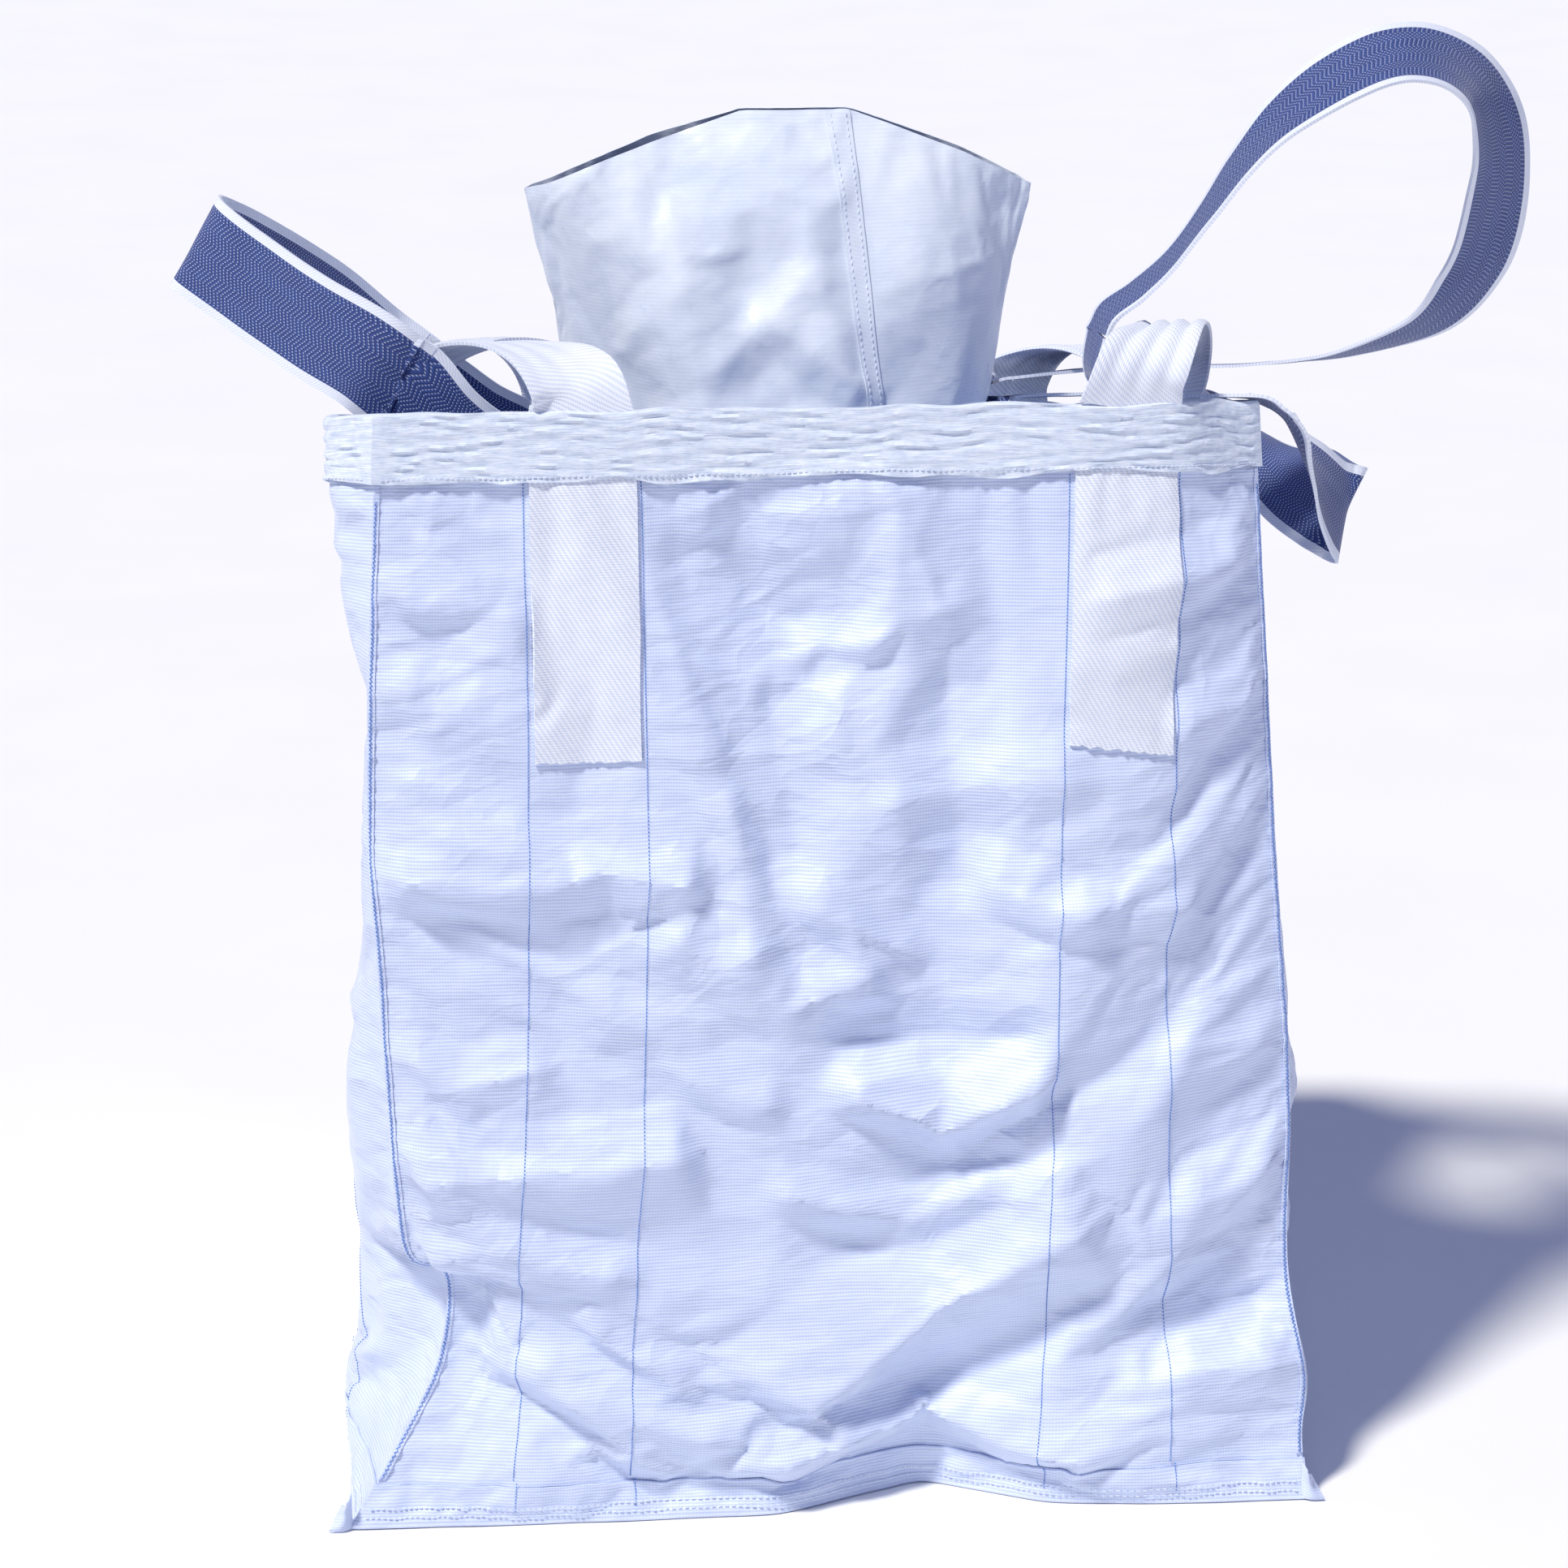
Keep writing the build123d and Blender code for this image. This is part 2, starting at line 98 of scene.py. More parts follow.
def ripple(u, v, seed, count, uWave, vWave):  # seeded sum of waves, about -1 to 1
    random = np.random.default_rng(seed)
    total = np.zeros(np.broadcast(u, v).shape)
    for _ in range(count):
        ku = 2 * math.pi / random.uniform(*uWave) * random.choice((-1, 1))
        kv = 2 * math.pi / random.uniform(*vWave)
        total = total + np.sin(u * ku + v * kv + random.uniform(0, 2 * math.pi))
    return total / math.sqrt(count) * 0.8


def tent(u, z, points, height, above, below, fade=30):  # one crease: a ridge line with flat sides
    result = np.zeros(u.shape)
    for (u1, z1), (u2, z2) in zip(points[:-1], points[1:]):
        du, dz = u2 - u1, z2 - z1
        length = math.hypot(du, dz)
        lengthways = ((u - u1) * du + (z - z1) * dz) / length
        across = ((z - z1) * du - (u - u1) * dz) / length * (1 if du >= 0 else -1)
        side = np.where(across > 0, above, below)
        past = np.maximum(np.maximum(-lengthways, lengthways - length), 0)
        shape = np.clip(1 - np.abs(across) / side, 0, 1) * np.clip(1 - past / fade, 0, 1)
        result = np.maximum(result, shape)
    return result * height


def randomCreases(u, z, seed, count, spread, size):  # short seeded creases, mostly lying level
    random = np.random.default_rng(seed)
    total = np.zeros(u.shape)
    for _ in range(count):
        cu, cz = random.uniform(u.min(), u.max()), random.uniform(z.min(), z.max())
        angle = random.normal(0, spread)
        half = random.uniform(18, 60)
        step = (math.cos(angle) * half, math.sin(angle) * half)
        line = [(cu - step[0], cz - step[1]), (cu + step[0], cz + step[1])]
        height = random.uniform(0.4, 1) * size * random.choice((-1, 1, 1))
        total += tent(u, z, line, height, random.uniform(12, 40), random.uniform(10, 30))
    return total


def makeMesh(name, points, faces, uv=None):
    mesh = bpy.data.meshes.new(name)
    mesh.from_pydata((np.asarray(points) * mm).tolist(), [], faces)
    if uv is not None:
        layer = mesh.uv_layers.new(name="UVMap")
        corner = np.zeros(len(mesh.loops), int)
        mesh.loops.foreach_get("vertex_index", corner)
        layer.data.foreach_set("uv", (np.asarray(uv)[corner] * mm).ravel())
    mesh.update()
    piece = bpy.data.objects.new(name, mesh)
    bpy.context.collection.objects.link(piece)
    return piece


def makeSheet(name, grid, uv, thick, ring=False):  # cloth with a real thickness
    rows, cols = grid.shape[:2]
    inner = grid - gridNormals(grid, ring) * thick
    count = rows * cols
    place = np.arange(count).reshape(rows, cols)
    quads = np.stack([place[:-1, :-1], place[:-1, 1:], place[1:, 1:], place[1:, :-1]], -1).reshape(-1, 4)
    rims = [place[0], place[-1][::-1]]
    if not ring:
        rims += [place[::-1, 0], place[:, -1]]
    faces = [quads, quads[:, ::-1] + count]
    for rim in rims:
        faces.append(np.stack([rim[1:], rim[:-1], rim[:-1] + count, rim[1:] + count], -1))
    flatUv = uv.reshape(-1, 2)
    points = np.concatenate([grid.reshape(-1, 3), inner.reshape(-1, 3)])
    piece = makeMesh(name, points, np.concatenate(faces).tolist(), np.concatenate([flatUv, flatUv]))
    if ring:
        onlySelect(piece)
        bpy.ops.object.mode_set(mode="EDIT")
        bpy.ops.mesh.select_all(action="SELECT")
        bpy.ops.mesh.remove_doubles(threshold=0.00002)
        bpy.ops.object.mode_set(mode="OBJECT")
    onlySelect(piece)
    bpy.ops.object.shade_smooth_by_angle(angle=math.radians(50))
    return piece


def onlySelect(piece):
    bpy.ops.object.select_all(action="DESELECT")
    piece.select_set(True)
    bpy.context.view_layer.objects.active = piece


def finishPiece(piece, body, slot, material, *nodes):
    piece.data.materials.append(material)
    if isinstance(body, tuple):  # it is kept off the bag, with its transform baked in
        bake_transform(piece)
    else:
        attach(piece, body)
    if nodes:
        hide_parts(*nodes)
    return piece


def settle(name, grid, held, growth, frames):  # a short cloth run that buckles the spare fabric
    rows, cols = grid.shape[:2]
    place = np.arange(rows * cols).reshape(rows, cols)
    quads = np.stack([place[:-1, :-1], place[:-1, 1:], place[1:, 1:], place[1:, :-1]], -1).reshape(-1, 4)
    cloth = makeMesh(name + "_settling", grid.reshape(-1, 3), quads.tolist())
    group = cloth.vertex_groups.new(name="held")
    group.add(place[held].tolist(), 1.0, "REPLACE")
    modifier = cloth.modifiers.new("Cloth", "CLOTH")
    modifier.point_cache.frame_end = frames
    setup = modifier.settings
    setup.quality = 5
    setup.mass = 0.3
    setup.tension_stiffness = setup.compression_stiffness = 40
    setup.shear_stiffness = 20
    setup.bending_stiffness = 2
    setup.shrink_min = -growth
    setup.vertex_group_mass = "held"
    setup.effector_weights.gravity = 0.04
    modifier.collision_settings.use_collision = False
    scene = bpy.context.scene
    for moment in range(1, frames + 1):
        scene.frame_set(moment)
    onlySelect(cloth)
    bpy.ops.object.modifier_apply(modifier="Cloth")
    scene.frame_set(1)
    flat = np.zeros(rows * cols * 3)
    cloth.data.vertices.foreach_get("co", flat)
    settled = flat.reshape(rows, cols, 3) / mm
    bpy.data.objects.remove(cloth)
    move = settled - grid
    size = np.linalg.norm(move, axis=-1, keepdims=True)
    return grid + move * np.minimum(1, 14 / np.maximum(size, 1e-6))  # no point moves over 14 mm


# Materials

def newMaterial(name, roughness=0.6, **values):
    material = bpy.data.materials.new(name)
    material.use_nodes = True
    tree = material.node_tree
    shader = tree.nodes["Principled BSDF"]
    shader.inputs["Roughness"].default_value = roughness
    for key, value in values.items():
        shader.inputs[key.replace("_", " ")].default_value = value
    return material, tree, shader


def addNode(tree, kind, links=None, values=None, **properties):
    node = tree.nodes.new(kind)
    for key, value in properties.items():
        setattr(node, key, value)
    for key, value in (values or {}).items():
        node.inputs[key].default_value = value
    for key, socket in (links or {}).items():
        tree.links.new(socket, node.inputs[key])
    return node


def scaledUv(tree, scale, turn=0.0):
    uv = addNode(tree, "ShaderNodeTexCoord").outputs["UV"]
    mapping = addNode(tree, "ShaderNodeMapping", {"Vector": uv}, {"Scale": scale, "Rotation": (0, 0, turn)})
    return mapping.outputs["Vector"]


def ribs(tree, pitch, direction, turn=0.0, distortion=0.0):  # even bands, pitch in millimetres
    scale = 2 * math.pi / 20 / (pitch * mm)
    vector = scaledUv(tree, (1, 1, 1), turn)
    wave = addNode(tree, "ShaderNodeTexWave", {"Vector": vector},
                   {"Scale": scale, "Distortion": distortion, "Detail": 1, "Detail Scale": 0.4},
                   wave_type="BANDS", bands_direction=direction)
    return wave.outputs["Fac"]


def grain(tree, scale, detail=4.0, roughness=0.6):
    noise = addNode(tree, "ShaderNodeTexNoise", {"Vector": scaledUv(tree, scale)},
                    {"Scale": 1, "Detail": detail, "Roughness": roughness})
    return noise.outputs["Fac"]


def calc(tree, operation, first, second=None):
    node = addNode(tree, "ShaderNodeMath", operation=operation)
    for socket, value in zip(node.inputs, (first, second)):
        if value is None:
            continue
        if isinstance(value, (int, float)):
            socket.default_value = value
        else:
            tree.links.new(value, socket)
    return node.outputs[0]


def blendSum(tree, *parts):  # weighted sum of (weight, socket)
    total = None
    for weight, socket in parts:
        part = calc(tree, "MULTIPLY", socket, weight)
        total = part if total is None else calc(tree, "ADD", total, part)
    return total


def ramp(tree, factor, stops):
    node = addNode(tree, "ShaderNodeValToRGB", {"Fac": factor})
    elements = node.color_ramp.elements
    while len(elements) < len(stops):
        elements.new(0.5)
    for element, (position, colour) in zip(elements, stops):
        element.position = position
        element.color = (*colour, 1)
    return node.outputs["Color"]


def mixColour(tree, factor, first, second):
    node = addNode(tree, "ShaderNodeMix", {"Factor": factor}, data_type="RGBA")
    for socket, value in ((node.inputs[6], first), (node.inputs[7], second)):
        if isinstance(value, tuple):
            socket.default_value = (*value, 1)
        else:
            tree.links.new(value, socket)
    return node.outputs[2]


def bump(tree, shader, height, strength, distance, under=None):
    node = addNode(tree, "ShaderNodeBump", {"Height": height},
                   {"Strength": strength, "Distance": distance * mm})
    if under is not None:
        tree.links.new(under, node.inputs["Normal"])
    tree.links.new(node.outputs["Normal"], shader.inputs["Normal"])


def crumple(tree, distance, layers):  # flat facets with crisp creases, stronger in some places than others
    heights = []
    for weight, scale, turn in layers:
        vector = scaledUv(tree, scale, turn)
        wander = addNode(tree, "ShaderNodeTexNoise", {"Vector": vector}, {"Scale": 0.8, "Detail": 2})
        moved = addNode(tree, "ShaderNodeVectorMath", operation="ADD")
        tree.links.new(vector, moved.inputs[0])
        tree.links.new(wander.outputs["Color"], moved.inputs[1])
        cells = addNode(tree, "ShaderNodeTexVoronoi", {"Vector": moved.outputs[0]}, {"Scale": 1},
                        distance="MANHATTAN")
        heights.append((weight, cells.outputs["Distance"]))
    strong = ramp(tree, grain(tree, (4, 4, 1), 2), [(0.35, (0.25, 0.25, 0.25)), (0.65, (1, 1, 1))])
    height = calc(tree, "MULTIPLY", blendSum(tree, *heights), strong)
    node = addNode(tree, "ShaderNodeBump", {"Height": height}, {"Strength": 1, "Distance": distance * mm})
    return node.outputs["Normal"]


def wovenMaterial():  # flat tapes woven edge to edge, with a satin face and fine level ribs
    material, tree, shader = newMaterial("woven_tapes", 0.5, Sheen_Weight=0.15)
    rib = ribs(tree, 3.1, "Y", distortion=0.6)
    warp = ribs(tree, 2.6, "X", distortion=0.5)
    streak = grain(tree, (22, 420, 1))
    patch = grain(tree, (5, 6, 1), 3)
    tone = blendSum(tree, (0.34, rib), (0.1, warp), (0.36, streak), (0.24, patch))
    colour = ramp(tree, tone,
                  [(0.25, (0.52, 0.60, 0.88)), (0.5, (0.66, 0.745, 0.97)), (0.8, (0.78, 0.87, 1.0))])
    tree.links.new(colour, shader.inputs["Base Color"])
    rough = calc(tree, "MULTIPLY_ADD", patch, 0.25)
    rough.node.inputs[2].default_value = 0.36
    tree.links.new(rough, shader.inputs["Roughness"])
    creases = crumple(tree, 8, [(1.0, (7, 12, 1), 0.35), (0.4, (17, 26, 1), -0.5)])
    bump(tree, shader, blendSum(tree, (0.6, rib), (0.2, warp), (0.55, streak)), 0.55, 0.5, creases)
    return material


def hemMaterial():  # loose coarse yarns running level, matte and crinkled
    material, tree, shader = newMaterial("hem_yarn", 0.85, Sheen_Weight=0.25)
    yarn = grain(tree, (45, 620, 1), 5)
    crinkle = grain(tree, (90, 160, 1), 4)
    tone = blendSum(tree, (0.6, yarn), (0.4, crinkle))
    colour = ramp(tree, tone,
                  [(0.3, (0.48, 0.57, 0.74)), (0.5, (0.72, 0.80, 0.92)), (0.68, (0.9, 0.94, 1.0))])
    tree.links.new(colour, shader.inputs["Base Color"])
    bump(tree, shader, tone, 0.9, 1.6)
    return material


def whiteWebbingMaterial():  # heavy twill with steep diagonal rows
    material, tree, shader = newMaterial("white_twill_webbing", 0.75, Sheen_Weight=0.2)
    twill = ribs(tree, 4.2, "X", turn=math.radians(-32), distortion=0.5)
    pick = ribs(tree, 2.2, "Y", distortion=0.4)
    wear = grain(tree, (60, 60, 1))
    tone = blendSum(tree, (0.4, twill), (0.25, pick), (0.35, wear))
    colour = ramp(tree, tone,
                  [(0.2, (0.66, 0.73, 0.88)), (0.5, (0.83, 0.88, 0.97)), (0.8, (0.94, 0.96, 1.0))])
    tree.links.new(colour, shader.inputs["Base Color"])
    bump(tree, shader, tone, 0.8, 1.0)
    return material


def blueWebbingMaterial(width=95, edge=8.5):  # herringbone with pale flecks between white edges
    material, tree, shader = newMaterial("blue_herringbone_webbing", 0.65, Sheen_Weight=0.3)
    uv = addNode(tree, "ShaderNodeSeparateXYZ", {"Vector": scaledUv(tree, (1000, 1000, 1))})
    u, v = uv.outputs["X"], uv.outputs["Y"]
    rowPlace = calc(tree, "DIVIDE", v, 11.5)  # herringbone columns run along the webbing
    swing = calc(tree, "PINGPONG", rowPlace, 1.0)
    slanted = calc(tree, "ADD", u, calc(tree, "MULTIPLY", swing, 7.0))
    diagonal = calc(tree, "FRACT", calc(tree, "DIVIDE", slanted, 4.6))
    across = calc(tree, "FRACT", calc(tree, "DIVIDE", v, 2.4))
    fleckU = calc(tree, "LESS_THAN", calc(tree, "ABSOLUTE", calc(tree, "SUBTRACT", diagonal, 0.5)), 0.15)
    fleckV = calc(tree, "LESS_THAN", calc(tree, "ABSOLUTE", calc(tree, "SUBTRACT", across, 0.5)), 0.24)
    fleck = calc(tree, "MULTIPLY", fleckU, fleckV)
    fade = grain(tree, (30, 90, 1))
    body = ramp(tree, blendSum(tree, (0.5, fade), (0.5, diagonal)),
                [(0.2, (0.007, 0.026, 0.15)), (0.55, (0.014, 0.045, 0.22)), (0.85, (0.03, 0.08, 0.31))])
    body = mixColour(tree, calc(tree, "MULTIPLY", fleck, 0.6), body, (0.62, 0.7, 0.88))
    toEdge = calc(tree, "MINIMUM", v, calc(tree, "SUBTRACT", float(width), v))
    white = calc(tree, "LESS_THAN", toEdge, float(edge))
    twill = calc(tree, "FRACT", calc(tree, "DIVIDE", calc(tree, "ADD", u, v), 3.4))
    edging = ramp(tree, twill,
                  [(0.0, (0.6, 0.68, 0.84)), (0.4, (0.9, 0.93, 0.99)), (1.0, (0.75, 0.81, 0.93))])
    tree.links.new(mixColour(tree, white, body, edging), shader.inputs["Base Color"])
    bump(tree, shader, blendSum(tree, (0.5, diagonal), (0.3, across), (0.3, fade), (0.4, white)), 0.7, 0.8)
    return material


def filmMaterial():  # coated film: pale, slightly glossy, with a faint weave under the coating
    material, tree, shader = newMaterial("coated_film", 0.3, Coat_Weight=0.3, Coat_Roughness=0.2)
    patch = grain(tree, (7, 7, 1), 4)
    crease = grain(tree, (45, 45, 1), 5, 0.65)
    weave = ribs(tree, 3.4, "Y", distortion=0.5)
    tone = blendSum(tree, (0.5, patch), (0.3, crease), (0.12, weave))
    colour = ramp(tree, tone,
                  [(0.3, (0.72, 0.81, 0.93)), (0.5, (0.82, 0.89, 0.98)), (0.7, (0.90, 0.95, 1.0))])
    tree.links.new(colour, shader.inputs["Base Color"])
    rough = calc(tree, "MULTIPLY_ADD", crease, 0.3)
    rough.node.inputs[2].default_value = 0.16
    tree.links.new(rough, shader.inputs["Roughness"])
    facets = crumple(tree, 2.2, [(1.0, (9, 9, 1), 0.5), (0.5, (24, 24, 1), -0.3)])
    bump(tree, shader, blendSum(tree, (1.0, crease), (0.08, weave)), 0.3, 1.2, facets)
    return material


def threadMaterial(name, dark, light):
    material, tree, shader = newMaterial(name, 0.7)
    place = addNode(tree, "ShaderNodeTexCoord").outputs["Object"]
    noise = addNode(tree, "ShaderNodeTexNoise", {"Vector": place}, {"Scale": 260, "Detail": 3})
    colour = ramp(tree, noise.outputs["Fac"], [(0.35, dark), (0.65, light)])
    tree.links.new(colour, shader.inputs["Base Color"])
    bump(tree, shader, noise.outputs["Fac"], 0.5, 0.3)
    return material


woven, hemYarn, whiteWebbing = wovenMaterial(), hemMaterial(), whiteWebbingMaterial()
blueWebbing, film = blueWebbingMaterial(), filmMaterial()
blueThread = threadMaterial("blue_thread", (0.03, 0.14, 0.5), (0.08, 0.27, 0.72))
paleThread = threadMaterial("pale_thread", (0.6, 0.68, 0.85), (0.88, 0.92, 1.0))
print("materials ready")

# The four walls
# Each is a run of plan points at the mouth, the waist and the base, with the inside of the bag on its left.

walls = {
    "front": {
        "node": "front_panel", "cols": 161, "rows": 191, "corners": ("frontLeft", "frontRight"),
        "top": [(-400, -370), (-265, -371), (-171, -371), (-50, -368), (90, -366), (226, -371), (318, -362),
                (391, -325)],
        "midX": [-416, -267, -171, -50, 92, 216, 308, 425],
        "base": [(-450, -450), (-296, -450), (-195, -449), (-48, -446), (93, -383), (206, -439),
                 (318, -450), (450, -450)],
        "legs": [("web_front_left", 1), ("web_front_right", 5)],
    },
    "right": {
        "node": "right_side_panel", "cols": 111, "rows": 191, "corners": ("frontRight", "backRight"),
        "top": [(391, -325), (388, -290), (260, -105), (380, 110), (375, 150)],
        "midX": [425, 430, 380, 430, 425],
        "base": [(450, -450), (451.5, -378), (449, 0), (451.5, 378), (450, 450)],
        "legs": [("web_right_front", 1), ("web_right_back", 2)],
        "pushes": [(1.4, 0.7, 380, 170, 12), (2.0, 0.6, 640, 120, -24), (3.0, 0.7, 250, 130, -12)],
    },
    "back": {
        "node": "back_panel", "cols": 141, "rows": 191, "corners": ("backRight", "backLeft"),
        "top": [(375, 150), (267, 152), (173, 151), (0, 148), (-173, 151), (-267, 152), (-400, 150)],
        "midX": [425, 271, 171, 0, -171, -271, -430],
        "base": [(450, 450), (300, 452), (200, 451), (0, 446), (-200, 451), (-300, 452), (-450, 450)],
        "legs": [("web_back_right", 1), ("web_back_left", 4)],
        "pushes": [(3.0, 1.2, 720, 130, -22), (2.2, 1.0, 330, 120, 10), (4.4, 0.8, 420, 120, -14)],
    },
    "left": {
        "node": "left_side_panel", "cols": 111, "rows": 191, "corners": ("backLeft", "frontLeft"),
        "top": [(-400, 150), (-449, 110), (-300, -110), (-449, -330), (-400, -370)],
        "midX": [-430, -428, -368, -421, -416],
        "base": [(-450, 450), (-451.5, 378), (-449, 0), (-451.5, -378), (-450, -450)],
        "legs": [("web_left_back", 1), ("web_left_front", 2)],
        "pushes": [(3.1, 0.8, 700, 120, -40), (3.2, 0.7, 400, 120, 24), (1.2, 0.8, 300, 160, -16)],
    },
}

# How far each upright corner is pushed, as height, across and back. The front left one is pinched low down.
corners = {
    "frontLeft": [(0, 0, 0), (70, 36, 14), (150, 74, 34), (235, 78, 38), (265, 42, 18), (320, 30, 6),
                  (430, 17, 0), (550, 6, 0), (700, -5, 0), (1050, 0, 0)],
    "frontRight": [(0, 6, 0), (60, 2, 0), (120, 9, 4), (230, -3, 6), (400, 6, 0), (650, 2, 0),
                   (1050, 0, 0)],
    "backRight": [(0, 0, 0), (180, -8, -10), (420, 6, -4), (700, -6, 0), (1050, 0, 0)],
    "backLeft": [(0, 0, 0), (150, 10, -8), (380, -4, -10), (720, 6, 0), (1050, 0, 0)],
}
cornerReach = 170  # how far along the wall a push at its corner is felt

# The front's large creases: points across and up, how proud, and how wide above and below.
frontCreases = [
    ([(-410, 890), (-340, 888), (-290, 872)], 6, 40, 26),
    ([(-405, 800), (-345, 815), (-280, 850)], 6, 34, 34),
    ([(-360, 770), (-270, 815)], 5, 30, 30),
    ([(-412, 636), (-267, 630), (-200, 640), (-130, 628)], 13, 62, 34),
    ([(-105, 945), (60, 968), (105, 868)], 9, 50, 60),
    ([(-95, 940), (-60, 880), (0, 832)], -13, 90, 80),
    ([(-15, 832), (45, 846)], 8, 30, 24),
    ([(110, 800), (122, 620)], -7, 55, 55),
    ([(-50, 790), (-30, 650)], -7, 60, 60),
    ([(150, 622), (235, 584)], 9, 40, 30),
    ([(230, 600), (330, 588)], 7, 50, 36),
    ([(-10, 602), (65, 560)], 7, 36, 30),
    ([(-140, 580), (-40, 512), (35, 540)], 9, 44, 38),
    ([(20, 430), (105, 394), (195, 436)], 13, 48, 30),
    ([(20, 476), (180, 474)], -8, 40, 30),
    ([(-35, 332), (72, 300), (140, 334)], 7, 34, 30),
    ([(232, 292), (140, 236), (40, 172), (-25, 122)], 15, 95, 70),
    ([(-396, 352), (-267, 362), (-135, 374)], 13, 50, 62),
    ([(-388, 270), (-320, 286), (-190, 262)], 8, 34, 30),
    ([(-410, 470), (-340, 440), (-265, 456)], 7, 36, 30),
    ([(-130, 450), (-60, 422)], 7, 34, 28),
    ([(-250, 162), (-105, 92)], 9, 42, 40),
    ([(-220, 132), (-150, 62)], 6, 24, 26),
    ([(-195, 202), (-130, 150)], 7, 30, 28),
    ([(330, 452), (440, 440)], 6, 44, 36),
    ([(335, 300), (440, 330)], 8, 44, 48),
    ([(300, 200), (440, 190)], -9, 50, 40),
    ([(330, 136), (440, 128)], 9, 38, 44),
    ([(330, 760), (410, 772)], 6, 34, 30),
    ([(-50, 62), (95, 98), (245, 52)], 9, 40, 34),
    ([(60, 700), (215, 716)], 6, 46, 40),
    ([(-90, 700), (-70, 560)], 6, 30, 34),
    ([(250, 880), (390, 905)], 6, 40, 36),
]


def cornerPush(name, z, reach):
    curve = curveAlong(corners[name], 120)
    return np.stack([np.interp(z, curve[:, 0], curve[:, 1]), np.interp(z, curve[:, 0], curve[:, 2]),
                     np.zeros(z.shape)], -1) * (reach * reach * (3 - 2 * reach))[..., None]


def shapeWall(name, wall, seed):
    top = np.array(wall["top"], float)
    mid = np.column_stack([wall["midX"], bag["midShift"] + bag["midStretch"] * top[:, 1]])
    base = np.array(wall["base"], float)
    topZ = bag["hemHeight"] - bag["hemFall"] * (top[:, 1] - bag["frontY"])
    run = np.r_[0, np.cumsum(np.hypot(*np.diff(mid, axis=0).T))]
    cols, rows = wall["cols"], wall["rows"]
    s = np.interp(np.linspace(0, run[-1], cols), run, np.arange(len(run)))
    topRow = along(np.column_stack([top, topZ]), s)
    midRow = along(np.column_stack([mid, np.full(len(mid), bag["midHeight"])]), s)
    baseRow = along(np.column_stack([base, np.full(len(base), bag["baseTop"])]), s)
    t = np.linspace(0, 1, rows)

    def atShare(share):
        lower = np.clip(share * 2, 0, 1)[:, None, None]
        upper = np.clip(share * 2 - 1, 0, 1)[:, None, None]
        return baseRow + (midRow - baseRow) * lower + (topRow - midRow) * upper

    reach = np.minimum(bag["soften"], np.minimum(t, 1 - t))
    grid = relax((atShare(t - reach) + atShare(t) + atShare(t + reach)) / 3, 10, 1)
    length = np.interp(s, np.arange(len(run)), run)
    z = grid[..., 2]
    fromStart, fromEnd = length[None, :] + 0 * z, run[-1] - length[None, :] + 0 * z
    near = np.clip(1 - fromStart / cornerReach, 0, 1)
    far = np.clip(1 - fromEnd / cornerReach, 0, 1)
    grid = grid + cornerPush(wall["corners"][0], z, near) + cornerPush(wall["corners"][1], z, far)
    u = length[None, :] + (-416 if name == "front" else -run[-1] / 2) + 0 * z
    count, size = (70, 3.2) if name == "front" else (90, 5.5)
    creases = randomCreases(u, z, seed, count, 0.55, size)
    if name == "front":
        for points, height, above, below in frontCreases:
            creases = creases + tent(u, z, points, height, above, below) * bag["depth"]
    quiet = np.clip(np.minimum(fromStart, fromEnd) / 35, 0, 1) * np.clip(z / 40, 0, 1)
    quiet = quiet * np.clip((topRow[None, :, 2] - z) / 70, 0.0, 1)
    for place, spread, height, tall, push in wall.get("pushes", []):
        share = np.exp(-((s[None, :] - place) / spread) ** 2 - ((z - height) / tall) ** 2)
        creases = creases + push * share * np.clip(np.minimum(fromStart, fromEnd) / 60, 0, 1)
    creases = relax(creases * quiet, 1, 1)
    grid = grid + gridNormals(grid) * creases[..., None]
    held = np.zeros(grid.shape[:2], bool)
    held[:, 0] = held[:, -1] = held[0] = held[1] = True
    held[topRow[None, :, 2] - z < 58] = True
    wall["grid"] = settle(name, grid, held, bag["growth"], bag["settleFrames"])
    wall["normals"] = unit(relax(relax(gridNormals(wall["grid"]), 3, 0), 3, 1))
    wall["s"], wall["t"], wall["run"], wall["length"] = s, t, run, length
    return wall


def onWall(wall, s, t, off):  # points standing off a wall by a distance, at places along and up it
    s, t = np.broadcast_arrays(np.asarray(s, float), np.asarray(t, float))
    col = np.interp(s, wall["s"], np.arange(len(wall["s"])))
    row = np.clip(t, 0, 1) * (len(wall["t"]) - 1)
    c, r = np.minimum(col.astype(int), len(wall["s"]) - 2), np.minimum(row.astype(int), len(wall["t"]) - 2)
    fc, fr = (col - c)[..., None], (row - r)[..., None]

    def mixed(grid):
        low = grid[r, c] * (1 - fc) + grid[r, c + 1] * fc
        high = grid[r + 1, c] * (1 - fc) + grid[r + 1, c + 1] * fc
        return low * (1 - fr) + high * fr

    normal = unit(mixed(wall["normals"]))
    return mixed(wall["grid"]) + normal * np.asarray(off, float)[..., None], normal


def dropPlace(drop):  # the place up a wall that lies this far below the mouth
    return 1 - drop / (bag["hemHeight"] - bag["midHeight"]) / 2


for number, (name, wall) in enumerate(walls.items()):
    shapeWall(name, wall, 11 + number)
    uv = np.stack(np.broadcast_arrays(wall["length"][None, :], (wall["t"] * bag["hemHeight"])[:, None]), -1)
    panel = makeSheet(wall["node"] + "_cloth", wall["grid"], uv, bag["thick"])
    finishPiece(panel, "bag", "woven_body", woven, wall["node"])
    wall["piece"] = panel
    print("wall settled:", name)

